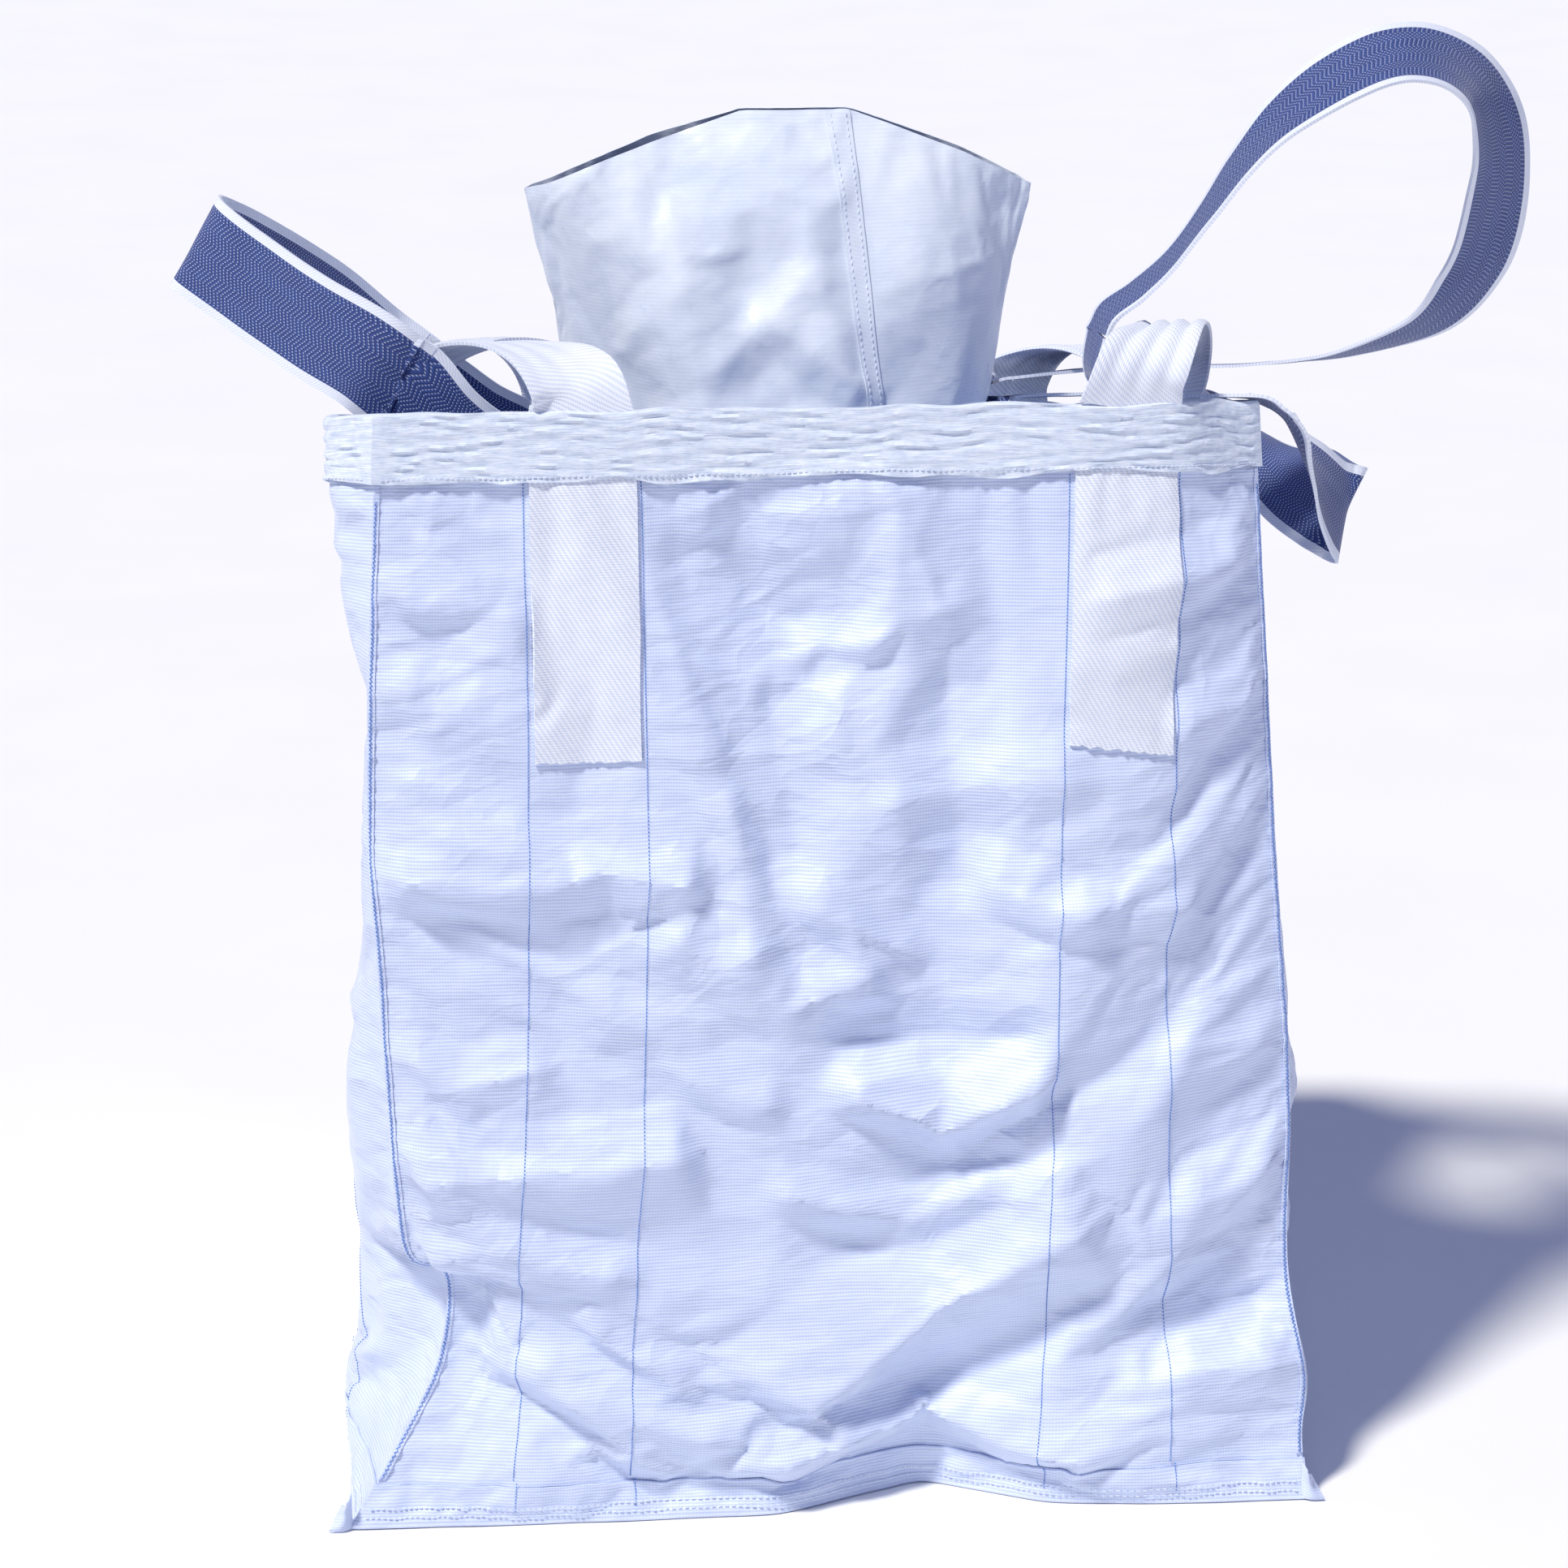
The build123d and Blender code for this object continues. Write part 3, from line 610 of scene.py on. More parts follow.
# Offsets from two walls meet at their shared corner, so each corner column leans half way between them.
wallOrder = list(walls)
for number, name in enumerate(wallOrder):
    here, after = walls[name]["normals"], walls[wallOrder[(number + 1) % 4]]["normals"]
    first, second = here[:, -1].copy(), after[:, 0].copy()
    facing = np.maximum(1 + np.sum(first * second, -1, keepdims=True), 0.7)
    here[:, -1] = after[:, 0] = (first + second) / facing

# Hem bands, folded over the mouth

hem = {
    "height": 60, "out": 5.8, "thick": 2.0, "inside": 44, "inward": 4.2, "rise": 2.5,
    "crinkle": 1.25,      # the fine level creases of the tape
    "wave": 3.0,          # how far its lower edge wanders
}


def hemBand(name, wall, seed):
    drops = np.r_[np.linspace(hem["height"], 0, 22), -hem["rise"] * 0.8, -hem["rise"], -hem["rise"] * 0.8,
                  np.linspace(0, hem["inside"], 10)]
    out = np.r_[np.full(22, hem["out"]), hem["out"] * 0.6, 0.5, -hem["inward"] * 0.7,
                np.full(10, -hem["inward"])]
    length = np.linspace(0, wall["run"][-1], wall["cols"] + 60)
    s = np.interp(length, wall["length"], wall["s"])
    u, v = np.meshgrid(length, np.cumsum(np.r_[0, np.hypot(np.diff(drops), np.diff(out))]))
    ends = np.clip(np.minimum(u, wall["run"][-1] - u) / 14, 0, 1)
    lower = np.clip((drops[:, None] - 35) / 25, 0, 1) * (out[:, None] > 0)
    wavy = ripple(u, 0 * v, seed, 6, (70, 260), (50, 90)) * hem["wave"] * ends
    place = dropPlace(drops[:, None] + wavy * lower)
    crinkle = ripple(u, v, seed + 1, 26, (40, 190), (5, 15)) * hem["crinkle"] * ends
    grid, _ = onWall(wall, s[None, :], place, out[:, None] + crinkle)
    grid[..., 2] += np.maximum(-drops, 0)[:, None] + wavy * (1 - lower) * 0.6
    band = makeSheet(name + "_hem_band", grid, np.stack([u, v], -1), hem["thick"])
    return finishPiece(band, "bag", "hem_tape", hemYarn, name + "_hem")


def baseBand(name, wall, seed):
    band = {"high": 40, "out": 2.4, "thick": 1.9}
    length = np.linspace(0, wall["run"][-1], wall["cols"] + 40)
    s = np.interp(length, wall["length"], wall["s"])
    u, v = np.meshgrid(length, np.linspace(0, band["high"] - bag["baseTop"], 13))
    ends = np.clip(np.minimum(u, wall["run"][-1] - u) / 14, 0, 1)
    place = v / (bag["midHeight"] - bag["baseTop"]) / 2
    crinkle = ripple(u, v, seed, 10, (30, 160), (12, 50)) * 0.5 * ends
    grid, _ = onWall(wall, s[None, :], place, band["out"] + crinkle)
    grid[0, :, 2] -= 1.2
    piece = makeSheet(name + "_base_band", grid, np.stack([u, v], -1), band["thick"])
    return finishPiece(piece, "bag", "woven_body", woven, name + "_base_seam")


for number, (name, wall) in enumerate(walls.items()):
    wall["hem"] = hemBand(name, wall, 31 + number)
    wall["baseBand"] = baseBand(name, wall, 41 + number)
ear = {"out": 26, "high": 36, "curl": 6, "thick": 1.6}  # spare cloth pinched outside the two front corners
for name, x, way in (("front_left", -449, -1), ("front_right", 449, 1)):
    u, v = np.meshgrid(np.linspace(0, 1, 13), np.linspace(0, 1, 15))
    reach = ear["out"] * u * (1 - 0.55 * v)
    fold = ear["curl"] * np.sin(u * math.pi * 1.3) * (0.4 + v) + 2 * np.sin(v * 9) * u
    height = 2 + ear["high"] * v * (1 - 0.35 * u)
    points = np.stack([x + way * reach * 0.85, -450 - reach * 0.3 - fold, height], -1)[:, ::way]
    flap = makeSheet(name + "_pinched_corner", points, np.stack([u * ear["out"], v * ear["high"]], -1),
                     ear["thick"])
    finishPiece(flap, "bag", "woven_body", woven)
print("hem and base bands sewn")


# Base panel and top panel

def closedRun(place, off):  # once round all four walls at one height, ending where it began
    parts = [onWall(wall, wall["s"][:-1], place, off)[0] for wall in walls.values()]
    ring = np.concatenate(parts)
    return np.vstack([ring, ring[:1]])


def ringSheet(name, outer, inner, steps, dip, thick):
    share = np.linspace(0, 1, steps)[:, None, None]
    grid = outer[None] * (1 - share) + inner[None] * share
    u, v = np.meshgrid(np.linspace(0, 3400, grid.shape[1]), np.linspace(0, 400, steps))
    soft = np.sin(math.pi * np.linspace(0, 1, steps))[:, None]
    repeat = np.cos(2 * math.pi * u / 3400 * 5) * 5 + np.cos(2 * math.pi * u / 3400 * 11 + 1) * 3
    grid[..., 2] += (repeat * np.sin(math.pi * v / 400) + dip) * soft * (abs(dip) > 0)
    return makeSheet(name, grid, grid[..., :2], thick, ring=True)


footRing = closedRun(0.0, -2.2)
footRing[:, 2] = 2.0
centre = np.array([0.0, 0.0, 2.0]) + 0 * footRing
baseSheet = ringSheet("base_panel_cloth", footRing, centre, 14, 0, 1.6)
basePiece = finishPiece(baseSheet, "bag", "woven_body", woven, "base_panel")

spout = {
    "x": -22, "y": -110, "footWidth": 199, "footDepth": 133, "thick": 0.8,
    "rings": [(1000, -2, -4, 197, 112), (1090, -3, -14, 208, 84), (1180, -5, -22, 229, 48),
              (1280, -6, -30, 250, 6)],  # height, shift across and back, half width, half depth
    "arch": [(-322, 1196), (-250, 1216), (-150, 1252), (-62, 1280), (38, 1280), (150, 1240), (278, 1182)],
}


def topPlane(y):  # height of the top panel's plane
    return 903 - 0.1484 * (y + 385.4)


topRing = closedRun(0.86, -7)  # the top panel is sewn in below the hem
turn = np.arctan2(topRing[:, 1] - spout["y"], topRing[:, 0] - spout["x"])
holeRing = np.column_stack([spout["x"] + 195 * np.cos(turn), spout["y"] + 129 * np.sin(turn), 0 * turn])
holeRing[:, 2] = topPlane(holeRing[:, 1]) + 2
topSheet = ringSheet("top_panel_cloth", topRing, holeRing, 18, -16, bag["thick"])
topPiece = finishPiece(topSheet, "bag", "woven_body", woven, "top_panel")
print("base and top panels sewn")

# Webbing sewn down the walls

webbing = {"width": 95, "thick": 2.8, "drop": 310, "out": 3.3, "wave": 0.35}


def webLeg(wall, name, stretch, seed, slant=0.0):
    top, mid = np.array(wall["top"], float), np.array(wall["midX"], float)
    midPoints = np.column_stack([mid, bag["midShift"] + bag["midStretch"] * top[:, 1]])
    long = [math.dist(points[stretch], points[stretch + 1]) for points in (midPoints, top)]
    random = np.random.default_rng(seed)
    drops = np.linspace(webbing["drop"], 1, 96)[:, None]
    share = 1 - drops / (bag["hemHeight"] - bag["midHeight"])
    v = np.linspace(-0.5, 0.5, 28)[None, :]
    stretchLength = long[0] * (1 - share) + long[1] * share
    s = stretch + 0.5 + v * webbing["width"] / stretchLength
    fray = np.where(drops > webbing["drop"] - 1, random.uniform(-1.4, 1.4, v.shape), 0)
    low = np.clip((drops - 200) / 110, 0, 1)
    edge = ripple(drops, 0 * v, seed, 4, (60, 150), (50, 90)) * webbing["wave"]
    place = dropPlace(drops + fray + slant * v * low)
    grid, _ = onWall(wall, s + 0.003 * edge, place, webbing["out"] + edge)
    uv = np.stack(np.broadcast_arrays((v + 0.5) * webbing["width"], webbing["drop"] - drops), -1)
    leg = makeSheet(name + "_strap", grid, uv, webbing["thick"])
    return finishPiece(leg, "bag", "white_webbing", whiteWebbing, name)


for number, wall in enumerate(walls.values()):
    for place, (name, stretch) in enumerate(wall["legs"]):
        webLeg(wall, name, stretch, 51 + 2 * number + place, slant=14 if name == "web_front_right" else 2)
print("webbing legs sewn")


# Webbing through the air: loops and slings

def bandPiece(name, centres, across, spacing, seed, width=95, thick=3.0, gather=0, pleat=0, wave=0.5):
    rough = curveAlong(centres, 200)
    count = int(np.linalg.norm(np.diff(rough, axis=0), axis=1).sum() / spacing)
    line, side = curveAlong(centres, count), curveAlong(across, count)
    tangent = unit(np.gradient(line, axis=0))
    side = unit(side - np.sum(side * tangent, -1, keepdims=True) * tangent)
    length = np.r_[0, np.cumsum(np.linalg.norm(np.diff(line, axis=0), axis=1))]
    arch = np.sin(math.pi * length / length[-1])
    v = np.linspace(-0.5, 0.5, 25)[:, None]
    grid = line[None] + side[None] * (v * (width - gather * arch))[..., None]
    normal = unit(np.cross(tangent, side))
    rise = pleat * arch * np.cos(v * 2 * math.pi * 3.5)
    rise = rise + ripple(length, v * 95, seed, 5, (60, 200), (60, 160)) * wave
    grid = grid + normal[None] * (rise + thick / 2)[..., None]
    u, _ = np.meshgrid(length, v)
    uv = np.stack([u, (v + 0.5) * 95 + 0 * u], -1)
    return makeSheet(name, grid, uv, thick), grid


loops = {
    "front_left_loop": {"feet": [(-218, -372.8, 1052.5), (-376.5, -218.5, 1016.5)],
                        "crest": (-297, -296, 1098), "across": [(1, 0, 0), (0.56, 0.83, -0.2)], "pleat": 0.8},
    "front_right_loop": {"feet": [(272, -368.8, 1052.5), (325.9, -195.8, 1012)], "crest": (318, -302, 1108),
                         "across": [(1, 0.1, -0.024), (0.57, -0.82, 0.2)], "pleat": 2.6},
    "back_left_loop": {"feet": [(-220, 153.5, 928), (-376.5, -1.5, 965)], "crest": (-297, 76, 1020),
                       "across": [(1, 0, 0), (0.56, -0.83, 0.2)], "pleat": 0.8},
    "back_right_loop": {"feet": [(220, 153.5, 928), (321.9, 1.2, 964)], "crest": (275, 84, 1002),
                        "across": [(1, 0, 0), (0.49, 0.87, -0.21)], "pleat": 1.6},
}
for number, (name, loop) in enumerate(loops.items()):
    (first, second), crest = np.array(loop["feet"], float), np.array(loop["crest"], float)
    angle = np.linspace(0, math.pi, 11)[:, None]
    share = (1 - np.cos(angle)) / 2
    centres = first + (second - first) * share + (crest - (first + second) / 2) * np.sin(angle)
    sides = np.array(loop["across"][0], float) * (1 - share) + np.array(loop["across"][1], float) * share
    centres[0, 2] -= 8  # the feet start a little inside the hem
    centres[-1, 2] -= 8
    piece, _ = bandPiece(name + "_strap", centres, sides, 4, 71 + number, gather=32, pleat=loop["pleat"])
    finishPiece(piece, "bag", "white_webbing", whiteWebbing, name)
print("corner loops made")

# Each sling is a list of stations: the centre of the webbing, and the way its width points.
slings = {
    "left_sling": [
        (-373.5, -309, 1060, 0.50, 0.00, 0.86), (-410, -303, 1088, 0.50, -0.08, 0.86),
        (-460, -270, 1112, 0.50, -0.15, 0.85), (-515, -222, 1141, 0.50, -0.18, 0.84),
        (-548, -194, 1160, 0.50, -0.10, 0.86), (-562, -176, 1168, 0.50, 0.00, 0.86),
        (-562, -160, 1168, 0.50, 0.05, 0.86), (-552, -143, 1160, 0.50, 0.15, 0.85),
        (-530, -112, 1142, 0.50, 0.25, 0.84), (-490, -50, 1104, 0.50, 0.33, 0.80),
        (-450, 12, 1062, 0.50, 0.33, 0.80), (-412, 60, 1016, 0.50, 0.20, 0.85),
        (-376, 77, 984, 0.50, 0.00, 0.86),
    ],
    "left_sling_inner": [
        (-381, -307.6, 1065.2, 0.50, 0, 0.86), (-371.5, -309, 1058.4, 0.50, 0, 0.86),
        (-345, -310, 1024, 0.45, 0, 0.89), (-310, -306, 994, 0.30, 0, 0.95),
        (-270, -294, 972, 0.12, 0, 0.99), (-248, -270, 962, 0, 0, 1), (-242, -235, 956, 0, 0, 1),
        (-242, -110, 932, 0, 0, 1), (-242, 20, 912, 0, 0, 1), (-248, 52, 910, 0, 0, 1),
        (-270, 72, 914, 0.12, 0, 0.99),
        (-310, 79, 932, 0.30, 0, 0.95), (-345, 79, 958, 0.45, 0, 0.89), (-374, 77.6, 982, 0.50, 0, 0.86),
        (-384, 73.6, 990, 0.50, 0.04, 0.86),
    ],
    "right_sling": [
        (256, -265, 1093, -0.02, 1, 0), (267, -262, 1112, 0.00, 1, -0.02),
        (294, -257, 1131, 0.03, 1, -0.04),
        (326, -251, 1159, 0.05, 1, -0.05), (356, -247, 1198, 0.05, 1, -0.02),
        (386, -242, 1240, 0.02, 1, 0.06),
        (426, -234, 1282, -0.04, 1, 0.20), (476, -222, 1315, -0.04, 1, 0.33),
        (530, -206, 1333, 0.04, 1, 0.40),
        (580, -186, 1326, 0.24, 1, 0.40), (622, -160, 1294, 0.55, 1, 0.26),
        (650, -126, 1236, 0.90, 1, 0.08),
        (657, -90, 1165, 1.10, 1, -0.16), (648, -55, 1098, 1.05, 1, -0.42),
        (612, -22, 1042, 0.60, 1, -0.42),
        (540, 22, 1005, 0.22, 1, -0.28), (460, 62, 987, 0.12, 1, -0.22), (395, 92, 979, 0.06, 1, -0.22),
        (345, 104, 977, 0.00, 1, -0.23), (300, 99, 976, -0.08, 1, -0.24), (260, 88, 975, -0.10, 1, -0.24),
        (222, 75, 974, -0.06, 1, -0.24), (207, 72, 973, -0.02, 1, -0.24), (200, 71, 971.5, 0.00, 1, -0.24),
    ],
    "right_sling_front_turn": [
        (256, -265, 1093.5, -0.02, 1, 0), (250, -267, 1062, 0, 1, -0.08), (256, -272, 1046, 0, 1, -0.15),
        (274, -280, 1039, 0, 1, -0.22), (310, -289, 1038, 0, 1, -0.24), (360, -291, 1038, 0, 1, -0.24),
        (392, -291, 1037, 0, 1, -0.24), (404, -290.6, 1034, 0, 1, -0.24), (412, -290, 1028.6, 0, 1, -0.24),
        (419, -288, 1022.8, 0, 1, -0.22),
    ],
    "right_sling_back_turn": [
        (200, 71, 971.5, 0.00, 1, -0.24), (193, 72, 968, 0, 1, -0.24), (189.5, 74, 961, 0, 1, -0.24),
        (194, 78, 955, 0, 1, -0.24), (208, 83, 952.5, 0, 1, -0.24), (240, 90, 952, 0, 1, -0.24),
        (320, 99, 951, 0, 1, -0.24), (370, 98, 952, 0, 1, -0.24), (388, 96, 953, 0, 1, -0.24),
        (398, 93, 954, 0, 1, -0.24), (407, 87, 954.3, 0, 1, -0.22),
    ],
    "right_sling_tail": [
        (412, -290, 1029, 0, 1, -0.24), (419, -288, 1023.5, 0, 1, -0.22), (433, -282, 1008, 0, 1, -0.10),
        (449, -267, 976, 0.05, 0.9, 0.15), (470, -248, 944, 0.20, 0.8, 0.40),
        (492, -222, 914, 0.30, 0.72, 0.60),
        (503, -204, 902, 0.30, 0.60, 0.70), (504, -190, 900, 0.30, 0.50, 0.76),
        (496, -176, 902, 0.30, 0.60, 0.70),
        (478, -140, 910, 0.25, 0.75, 0.55), (455, -70, 926, 0.15, 0.9, 0.20), (434, 10, 944, 0.05, 1, 0),
        (418, 66, 953.5, 0, 1, -0.15), (407, 87, 955, 0, 1, -0.22), (398, 93, 954.5, 0, 1, -0.24),
    ],
}
# These slings are baked in place rather than attached to the bag, listed with a body and where a bend starts
# and ends.
slingBends = {
    "left_sling": ("left_sling", (-0.372, -0.1085, 1.063), (-0.425, -0.1085, 1.063)),
    "right_sling": ("right_sling", (0.262, -0.0965, 1.095), (0.334, -0.0965, 1.191)),
    "right_sling_tail": ("right_tail", (0.409, -0.101, 0.993), (0.445, -0.1063, 0.960)),
}
slingGrids = {}
for number, (name, stations) in enumerate(slings.items()):
    stations = np.array(stations, float)
    piece, slingGrids[name] = bandPiece(name + "_strap", stations[:, :3], stations[:, 3:], 4, 81 + number)
    finishPiece(piece, slingBends.get(name, "bag"), "blue_webbing", blueWebbing, name)
print("slings made")

# Filling spout

spoutBend = ("spout", (-0.022, -0.110, 0.885), (-0.022, -0.110, 0.990))  # its foot stays on the top panel
spoutCreases = [
    ([(-205, 1225), (-120, 1130), (-92, 990)], 17, 46, 70),
    ([(-255, 1165), (-175, 1020), (-150, 930)], -9, 44, 50),
    ([(-120, 1186), (20, 1200)], 9, 30, 44),
    ([(-60, 1130), (-20, 1020)], -11, 34, 40),
    ([(-30, 1092), (40, 1036)], 9, 32, 26),
    ([(-100, 1244), (0, 1232)], 7, 26, 34),
    ([(110, 1215), (155, 1010)], 9, 52, 66),
    ([(0, 1160), (42, 980)], 8, 24, 26),
    ([(70, 1120), (190, 1150)], 6, 34, 34),
    ([(-80, 1060), (-10, 1130)], 8, 22, 28),
    ([(180, 1190), (215, 1080)], -8, 30, 34),
]


def shapeSpout():
    cols, rows = 221, 96
    theta = np.linspace(-math.pi, math.pi, cols)[None, :] - math.pi / 2  # it starts and ends at the back
    share = np.linspace(0, 1, rows)[:, None]
    rings = np.array(spout["rings"], float)
    width = rings[-1, 3] * np.cos(theta)
    arch = np.array(spout["arch"], float)
    topZ = np.interp(spout["x"] - 6 + width, arch[:, 0], arch[:, 1])
    footX = spout["x"] + spout["footWidth"] * np.cos(theta)
    footY = spout["y"] + spout["footDepth"] * np.sin(theta)
    footZ = topPlane(footY) + 4
    z = footZ + (topZ - footZ) * share
    levels = np.r_[850, rings[:, 0]]
    shiftX, shiftY, halfX, halfY = (np.interp(z, levels, np.r_[first, rings[:, k]]) for k, first in
                                    ((1, 0), (2, 0), (3, spout["footWidth"]), (4, spout["footDepth"])))
    sharp = np.clip((z - 900) / 300, 0, 1)  # pressed flat towards its open end, with folded sides
    depth = np.sign(np.sin(theta)) * np.abs(np.sin(theta)) ** (1 + 0.45 * sharp)
    grid = np.stack([spout["x"] + shiftX + halfX * np.cos(theta), spout["y"] + shiftY + halfY * depth,
                     z], -1)
    grid[0, :, 0], grid[0, :, 1] = footX[0], footY[0]
    front = np.clip(-np.sin(theta) * 3, 0, 1)
    creases = np.zeros(z.shape)
    for points, height, above, below in spoutCreases:
        creases = creases + tent(grid[..., 0], z, points, height, above, below) * front
    girth = (theta + 1.5 * math.pi) * 190
    creases = creases + randomCreases(girth + 0 * z, z, 91, 70, 0.9, 3.4)
    quiet = np.clip(share * 6, 0, 1) * np.clip(np.minimum(girth, 380 * math.pi - girth) / 40, 0, 1)
    creases = relax(relax(0.95 * creases * quiet, 1, 0), 1, 1)
    grid = grid + gridNormals(grid, True) * creases[..., None]
    held = np.zeros(z.shape, bool)
    held[:2] = held[-1] = held[:, 0] = held[:, -1] = True
    grid = settle("spout", grid, held, 0.012, 10)
    grid[:, -1] = grid[:, 0]
    uv = np.stack(np.broadcast_arrays(girth, z - 850), -1)
    return grid, uv


spoutGrid, spoutUv = shapeSpout()
spoutNormals = gridNormals(spoutGrid, True)
spoutSheet = makeSheet("filling_spout_film", spoutGrid, spoutUv, spout["thick"], ring=True)
spoutPiece = finishPiece(spoutSheet, spoutBend, "coated_film", film, "filling_spout")


def onSpout(col, row, off):
    c = np.minimum(col.astype(int), spoutGrid.shape[1] - 2)
    r = np.minimum(row.astype(int), spoutGrid.shape[0] - 2)
    fc, fr = (col - c)[..., None], (row - r)[..., None]

    def mixed(grid):
        return ((grid[r, c] * (1 - fc) + grid[r, c + 1] * fc) * (1 - fr)
                + (grid[r + 1, c] * (1 - fc) + grid[r + 1, c + 1] * fc) * fr)

    normal = unit(mixed(spoutNormals))
    return mixed(spoutGrid) + normal * np.asarray(off, float)[..., None], normal


def stripPlace(v, row):  # column of the spout that lies v millimetres off the middle of its sewn overlap
    share = np.interp(row / 95, [0.3, 1], [0.41, 0.22])
    theta = -np.arccos(share) + math.pi * 2
    col = (theta - math.pi / 2) / (2 * math.pi) * 220
    return col + v / 5.4


strip = {"width": 18, "thick": 1.0, "low": 27}
row, v = np.meshgrid(np.linspace(strip["low"], 95, 90), np.linspace(-0.5, 0.5, 8) * strip["width"])
stripGrid, _ = onSpout(stripPlace(v, row), row, 1.5 + 0 * row)
stripUv = np.stack([v + 9, row * 4], -1)
stripPiece = makeSheet("spout_overlap_strip", stripGrid[:, ::-1], stripUv, strip["thick"])
finishPiece(stripPiece, spoutBend, "coated_film", film, "spout_seam_strip")
print("spout settled")


# Threads: many small stitches in one mesh

def stitches(name, centres, ways, normals, length, width, high, material, body):
    ways, normals = unit(ways), unit(normals)
    sides = unit(np.cross(normals, ways))
    length = np.broadcast_to(np.asarray(length, float), (len(centres),))[:, None]
    shape = [(-0.5, -0.3, 0), (-0.5, 0.3, 0), (0.5, 0.3, 0), (0.5, -0.3, 0),
             (-0.3, -0.5, 1), (-0.3, 0.5, 1), (0.3, 0.5, 1), (0.3, -0.5, 1)]
    corner = [centres + ways * length * a + sides * width * b + normals * high * (c - 0.3)
              for a, b, c in shape]
    points = np.stack(corner, 1).reshape(-1, 3)
    box = np.array([(0, 1, 2, 3), (4, 7, 6, 5), (0, 4, 5, 1), (1, 5, 6, 2), (2, 6, 7, 3), (3, 7, 4, 0)])
    faces = (box[None] + 8 * np.arange(len(centres))[:, None, None]).reshape(-1, 4)
    piece = makeMesh(name, points, faces[:, ::-1].tolist())
    return finishPiece(piece, body, "seam_thread", material)


def rowOnWall(wall, s, t, off):  # centres, directions and normals of stitches along a line on a wall
    points, normals = onWall(wall, s, t, off)
    return points, np.gradient(points, axis=0), normals


marker = {  # tracer yarns woven in beside each leg
    "pitch": 3.1, "long": 1.9, "wide": 0.95, "low": 14, "high": 990, "aside": 0.035,
    "bandTop": 0.042, "bandStep": 0.03,  # where the base band begins, and the yarn's step sideways
}


def markerLine(wall, stretchEnd, side):
    t = np.arange(marker["low"], marker["high"], marker["pitch"]) / bag["hemHeight"]
    s = stretchEnd + 0 * t + side * marker["aside"]
    s = s + np.where(t < marker["bandTop"], marker["bandStep"], 0)
    off = np.where(t < marker["bandTop"], 2.8, 0.35)
    return rowOnWall(wall, s, t, off)


for name, wall in walls.items():
    rows = []
    for _, stretch in wall["legs"]:
        top = np.array(wall["top"], float)
        half = webbing["width"] / 2 / math.dist(top[stretch], top[stretch + 1])
        for side in (-1, 1):
            rows.append(markerLine(wall, stretch + 0.5 + side * half, side))
    points, ways, normals = (np.concatenate(part) for part in zip(*rows))
    stitches(name + "_tracer_yarns", points, ways, normals, marker["long"], marker["wide"], 0.7,
             blueThread, "bag")

    s = np.interp(np.arange(8, wall["run"][-1] - 8, 5.2), wall["length"], wall["s"])
    rows = [rowOnWall(wall, s, height / bag["hemHeight"], 3.8) for height in (9, 17)]
    rows.append(rowOnWall(wall, s, dropPlace(55.5), 6.2))
    points, ways, normals = (np.concatenate(part) for part in zip(*rows))
    stitches(name + "_edge_stitches", points, ways, normals, 3.9, 0.9, 0.8, paleThread, "bag")
print("tracer yarns and stitch lines sewn")

seamCorners = {
    "front_left_corner_seam": ("front", 0), "front_right_corner_seam": ("front", -1),
    "back_right_corner_seam": ("back", 0), "back_left_corner_seam": ("back", -1),
}
seam = {"width": 6, "pitch": 4.0, "zigzag": 1.1}
for number, (node, (wallName, end)) in enumerate(seamCorners.items()):
    wall = walls[wallName]
    length = wall["run"][-1]
    inward = np.linspace(0.4, seam["width"], 6)
    away = inward if end == 0 else length - inward[::-1]
    s = np.interp(away, wall["length"], wall["s"])[None, :]
    t = np.linspace(0.041, dropPlace(61), 230)[:, None]
    grid, _ = onWall(wall, s, t, 1.5 + 0 * (s + t))
    uv = np.stack(np.broadcast_arrays(away[None, :], t * bag["hemHeight"]), -1)
    finishPiece(makeSheet(node + "_ridge", grid, uv, 1.1), "bag", "seam_thread", woven, node)
    turns = np.arange(44, 975, seam["pitch"] / 2) / bag["hemHeight"]
    middle = seam["width"] / 2
    swing = middle + np.where(np.arange(len(turns)) % 2, 1, -1) * seam["zigzag"]
    s = np.interp(swing if end == 0 else length - swing, wall["length"], wall["s"])
    points, normals = onWall(wall, s, turns, 2.0 + 0 * turns)
    middles, ways = (points[1:] + points[:-1]) / 2, points[1:] - points[:-1]
    stitches(node + "_overlock", middles, ways, normals[1:], np.linalg.norm(ways, axis=1) * 1.05, 0.55, 0.5,
             blueThread, "bag")


def joinStitches(name, grid, at, thick, body):  # rows of stitches through a sling where its ends are joined
    station = int(np.argmin(np.linalg.norm(grid[12] - np.array(at, float), axis=-1)))
    places = np.meshgrid(np.arange(3, 22), station + np.arange(0, 11, 2))
    acrossPlaces, alongPlaces = (part.ravel() for part in places)
    centres, normals = grid[acrossPlaces, alongPlaces], gridNormals(grid)[acrossPlaces, alongPlaces]
    ways = grid[acrossPlaces + 1, alongPlaces] - centres
    both = np.concatenate([centres + normals * 0.4, centres - normals * (thick + 0.4)])
    stitches(name, both, np.concatenate([ways, ways]), np.concatenate([normals, -normals]), 2.7, 1.1, 0.8,
             paleThread, body)


joinStitches("left_sling_join", slingGrids["left_sling"], (-430, 30, 1035), 3.0, slingBends["left_sling"])

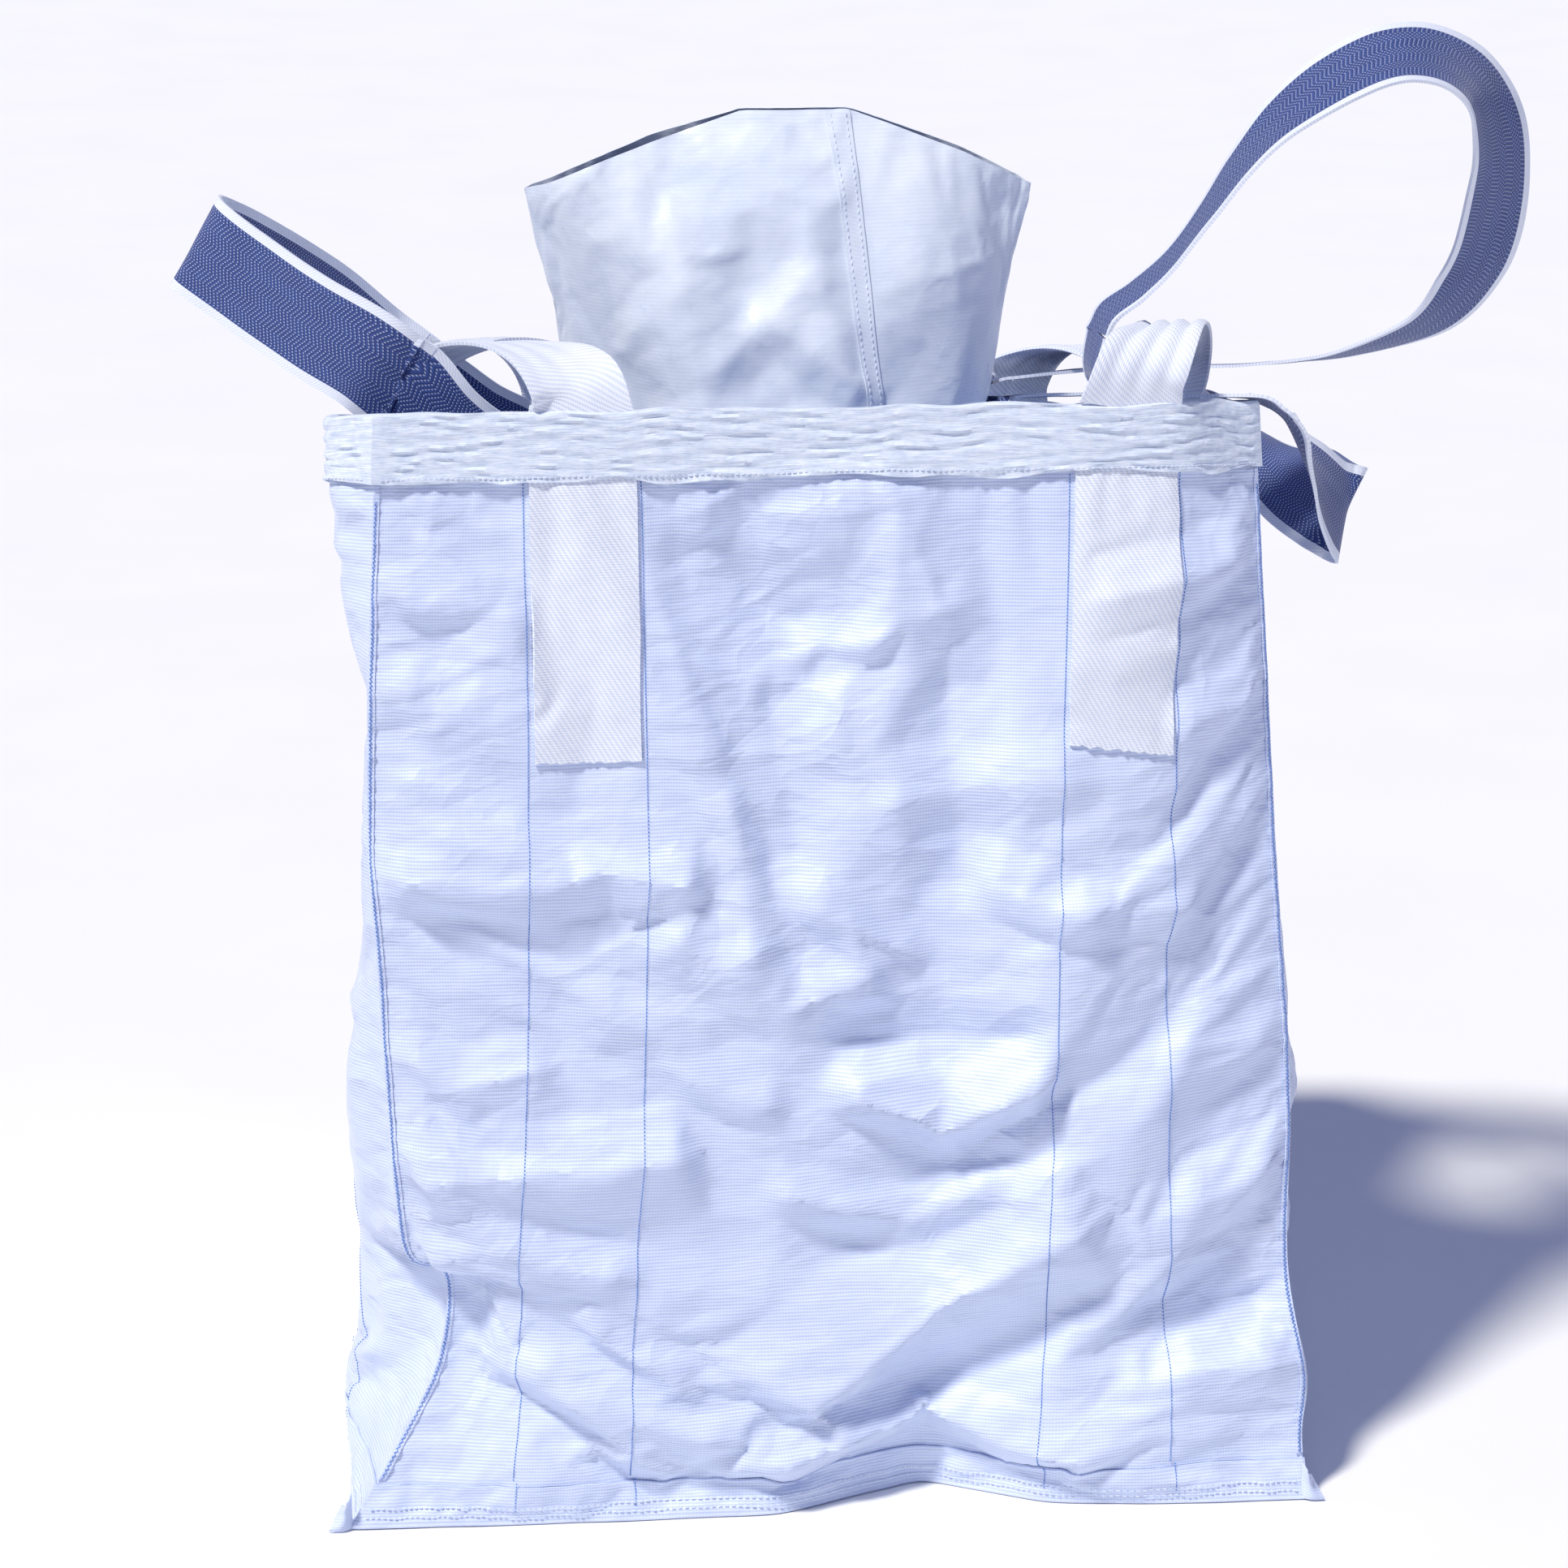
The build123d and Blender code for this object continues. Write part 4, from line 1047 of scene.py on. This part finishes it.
row = np.arange(strip["low"] + 1, 94, 1.4)
rows = []
for v in (-5.5, 5.5):
    points, normals = onSpout(stripPlace(v, row), row, 1.7 + 0 * row)
    rows.append((points, np.gradient(points, axis=0), normals))
points, ways, normals = (np.concatenate(part) for part in zip(*rows))
stitches("spout_overlap_stitches", points, ways, normals, 3.6, 1.0, 0.8, paleThread, spoutBend)
print("seams overlocked")

# Floor, light and camera

bpy.ops.object.select_all(action="DESELECT")
bpy.ops.mesh.primitive_plane_add(size=60, location=(0, 0, 0))
floor = bpy.context.object
floor.name = "studio_floor"
floorMaterial, tree, shader = newMaterial("pale_floor", 0.9)
noise = addNode(tree, "ShaderNodeTexNoise",
                {"Vector": addNode(tree, "ShaderNodeTexCoord").outputs["Object"]}, {"Scale": 3})
tree.links.new(ramp(tree, noise.outputs["Fac"], [(0.3, (0.90, 0.90, 0.88)), (0.7, (0.92, 0.92, 0.90))]),
               shader.inputs["Base Color"])
floor.data.materials.append(floorMaterial)

world = bpy.data.worlds.new("studio")
bpy.context.scene.world = world
world.use_nodes = True
world.node_tree.nodes["Background"].inputs["Color"].default_value = (0.47, 0.54, 1.0, 1)
world.node_tree.nodes["Background"].inputs["Strength"].default_value = 0.36
bpy.context.scene.view_settings.view_transform = "Standard"

keyLight = {"way": (-0.40, -0.33, 0.855), "power": 3.3, "softness": 8, "colour": (1.0, 0.96, 0.885)}
light = bpy.data.lights.new("key_light", "SUN")
light.energy, light.color = keyLight["power"], keyLight["colour"]
light.angle = math.radians(keyLight["softness"])
lamp = bpy.data.objects.new("key_light", light)
bpy.context.collection.objects.link(lamp)
wayX, wayY, wayZ = keyLight["way"]  # it shines from this direction
lamp.rotation_euler = (math.atan2(math.hypot(wayX, wayY), wayZ), 0, math.atan2(wayX, -wayY))

camera = bpy.data.objects.new("camera", bpy.data.cameras.new("camera"))
bpy.context.collection.objects.link(camera)
camera.location = (-0.3081, -4.2338, 1.959)
camera.rotation_euler = (math.radians(72), 0, math.radians(-4))
camera.data.lens = 102.48
camera.data.sensor_width = 36
camera.data.clip_end = 100
bpy.context.scene.camera = camera

bpy.context.view_layer.update()
print("scene ready")
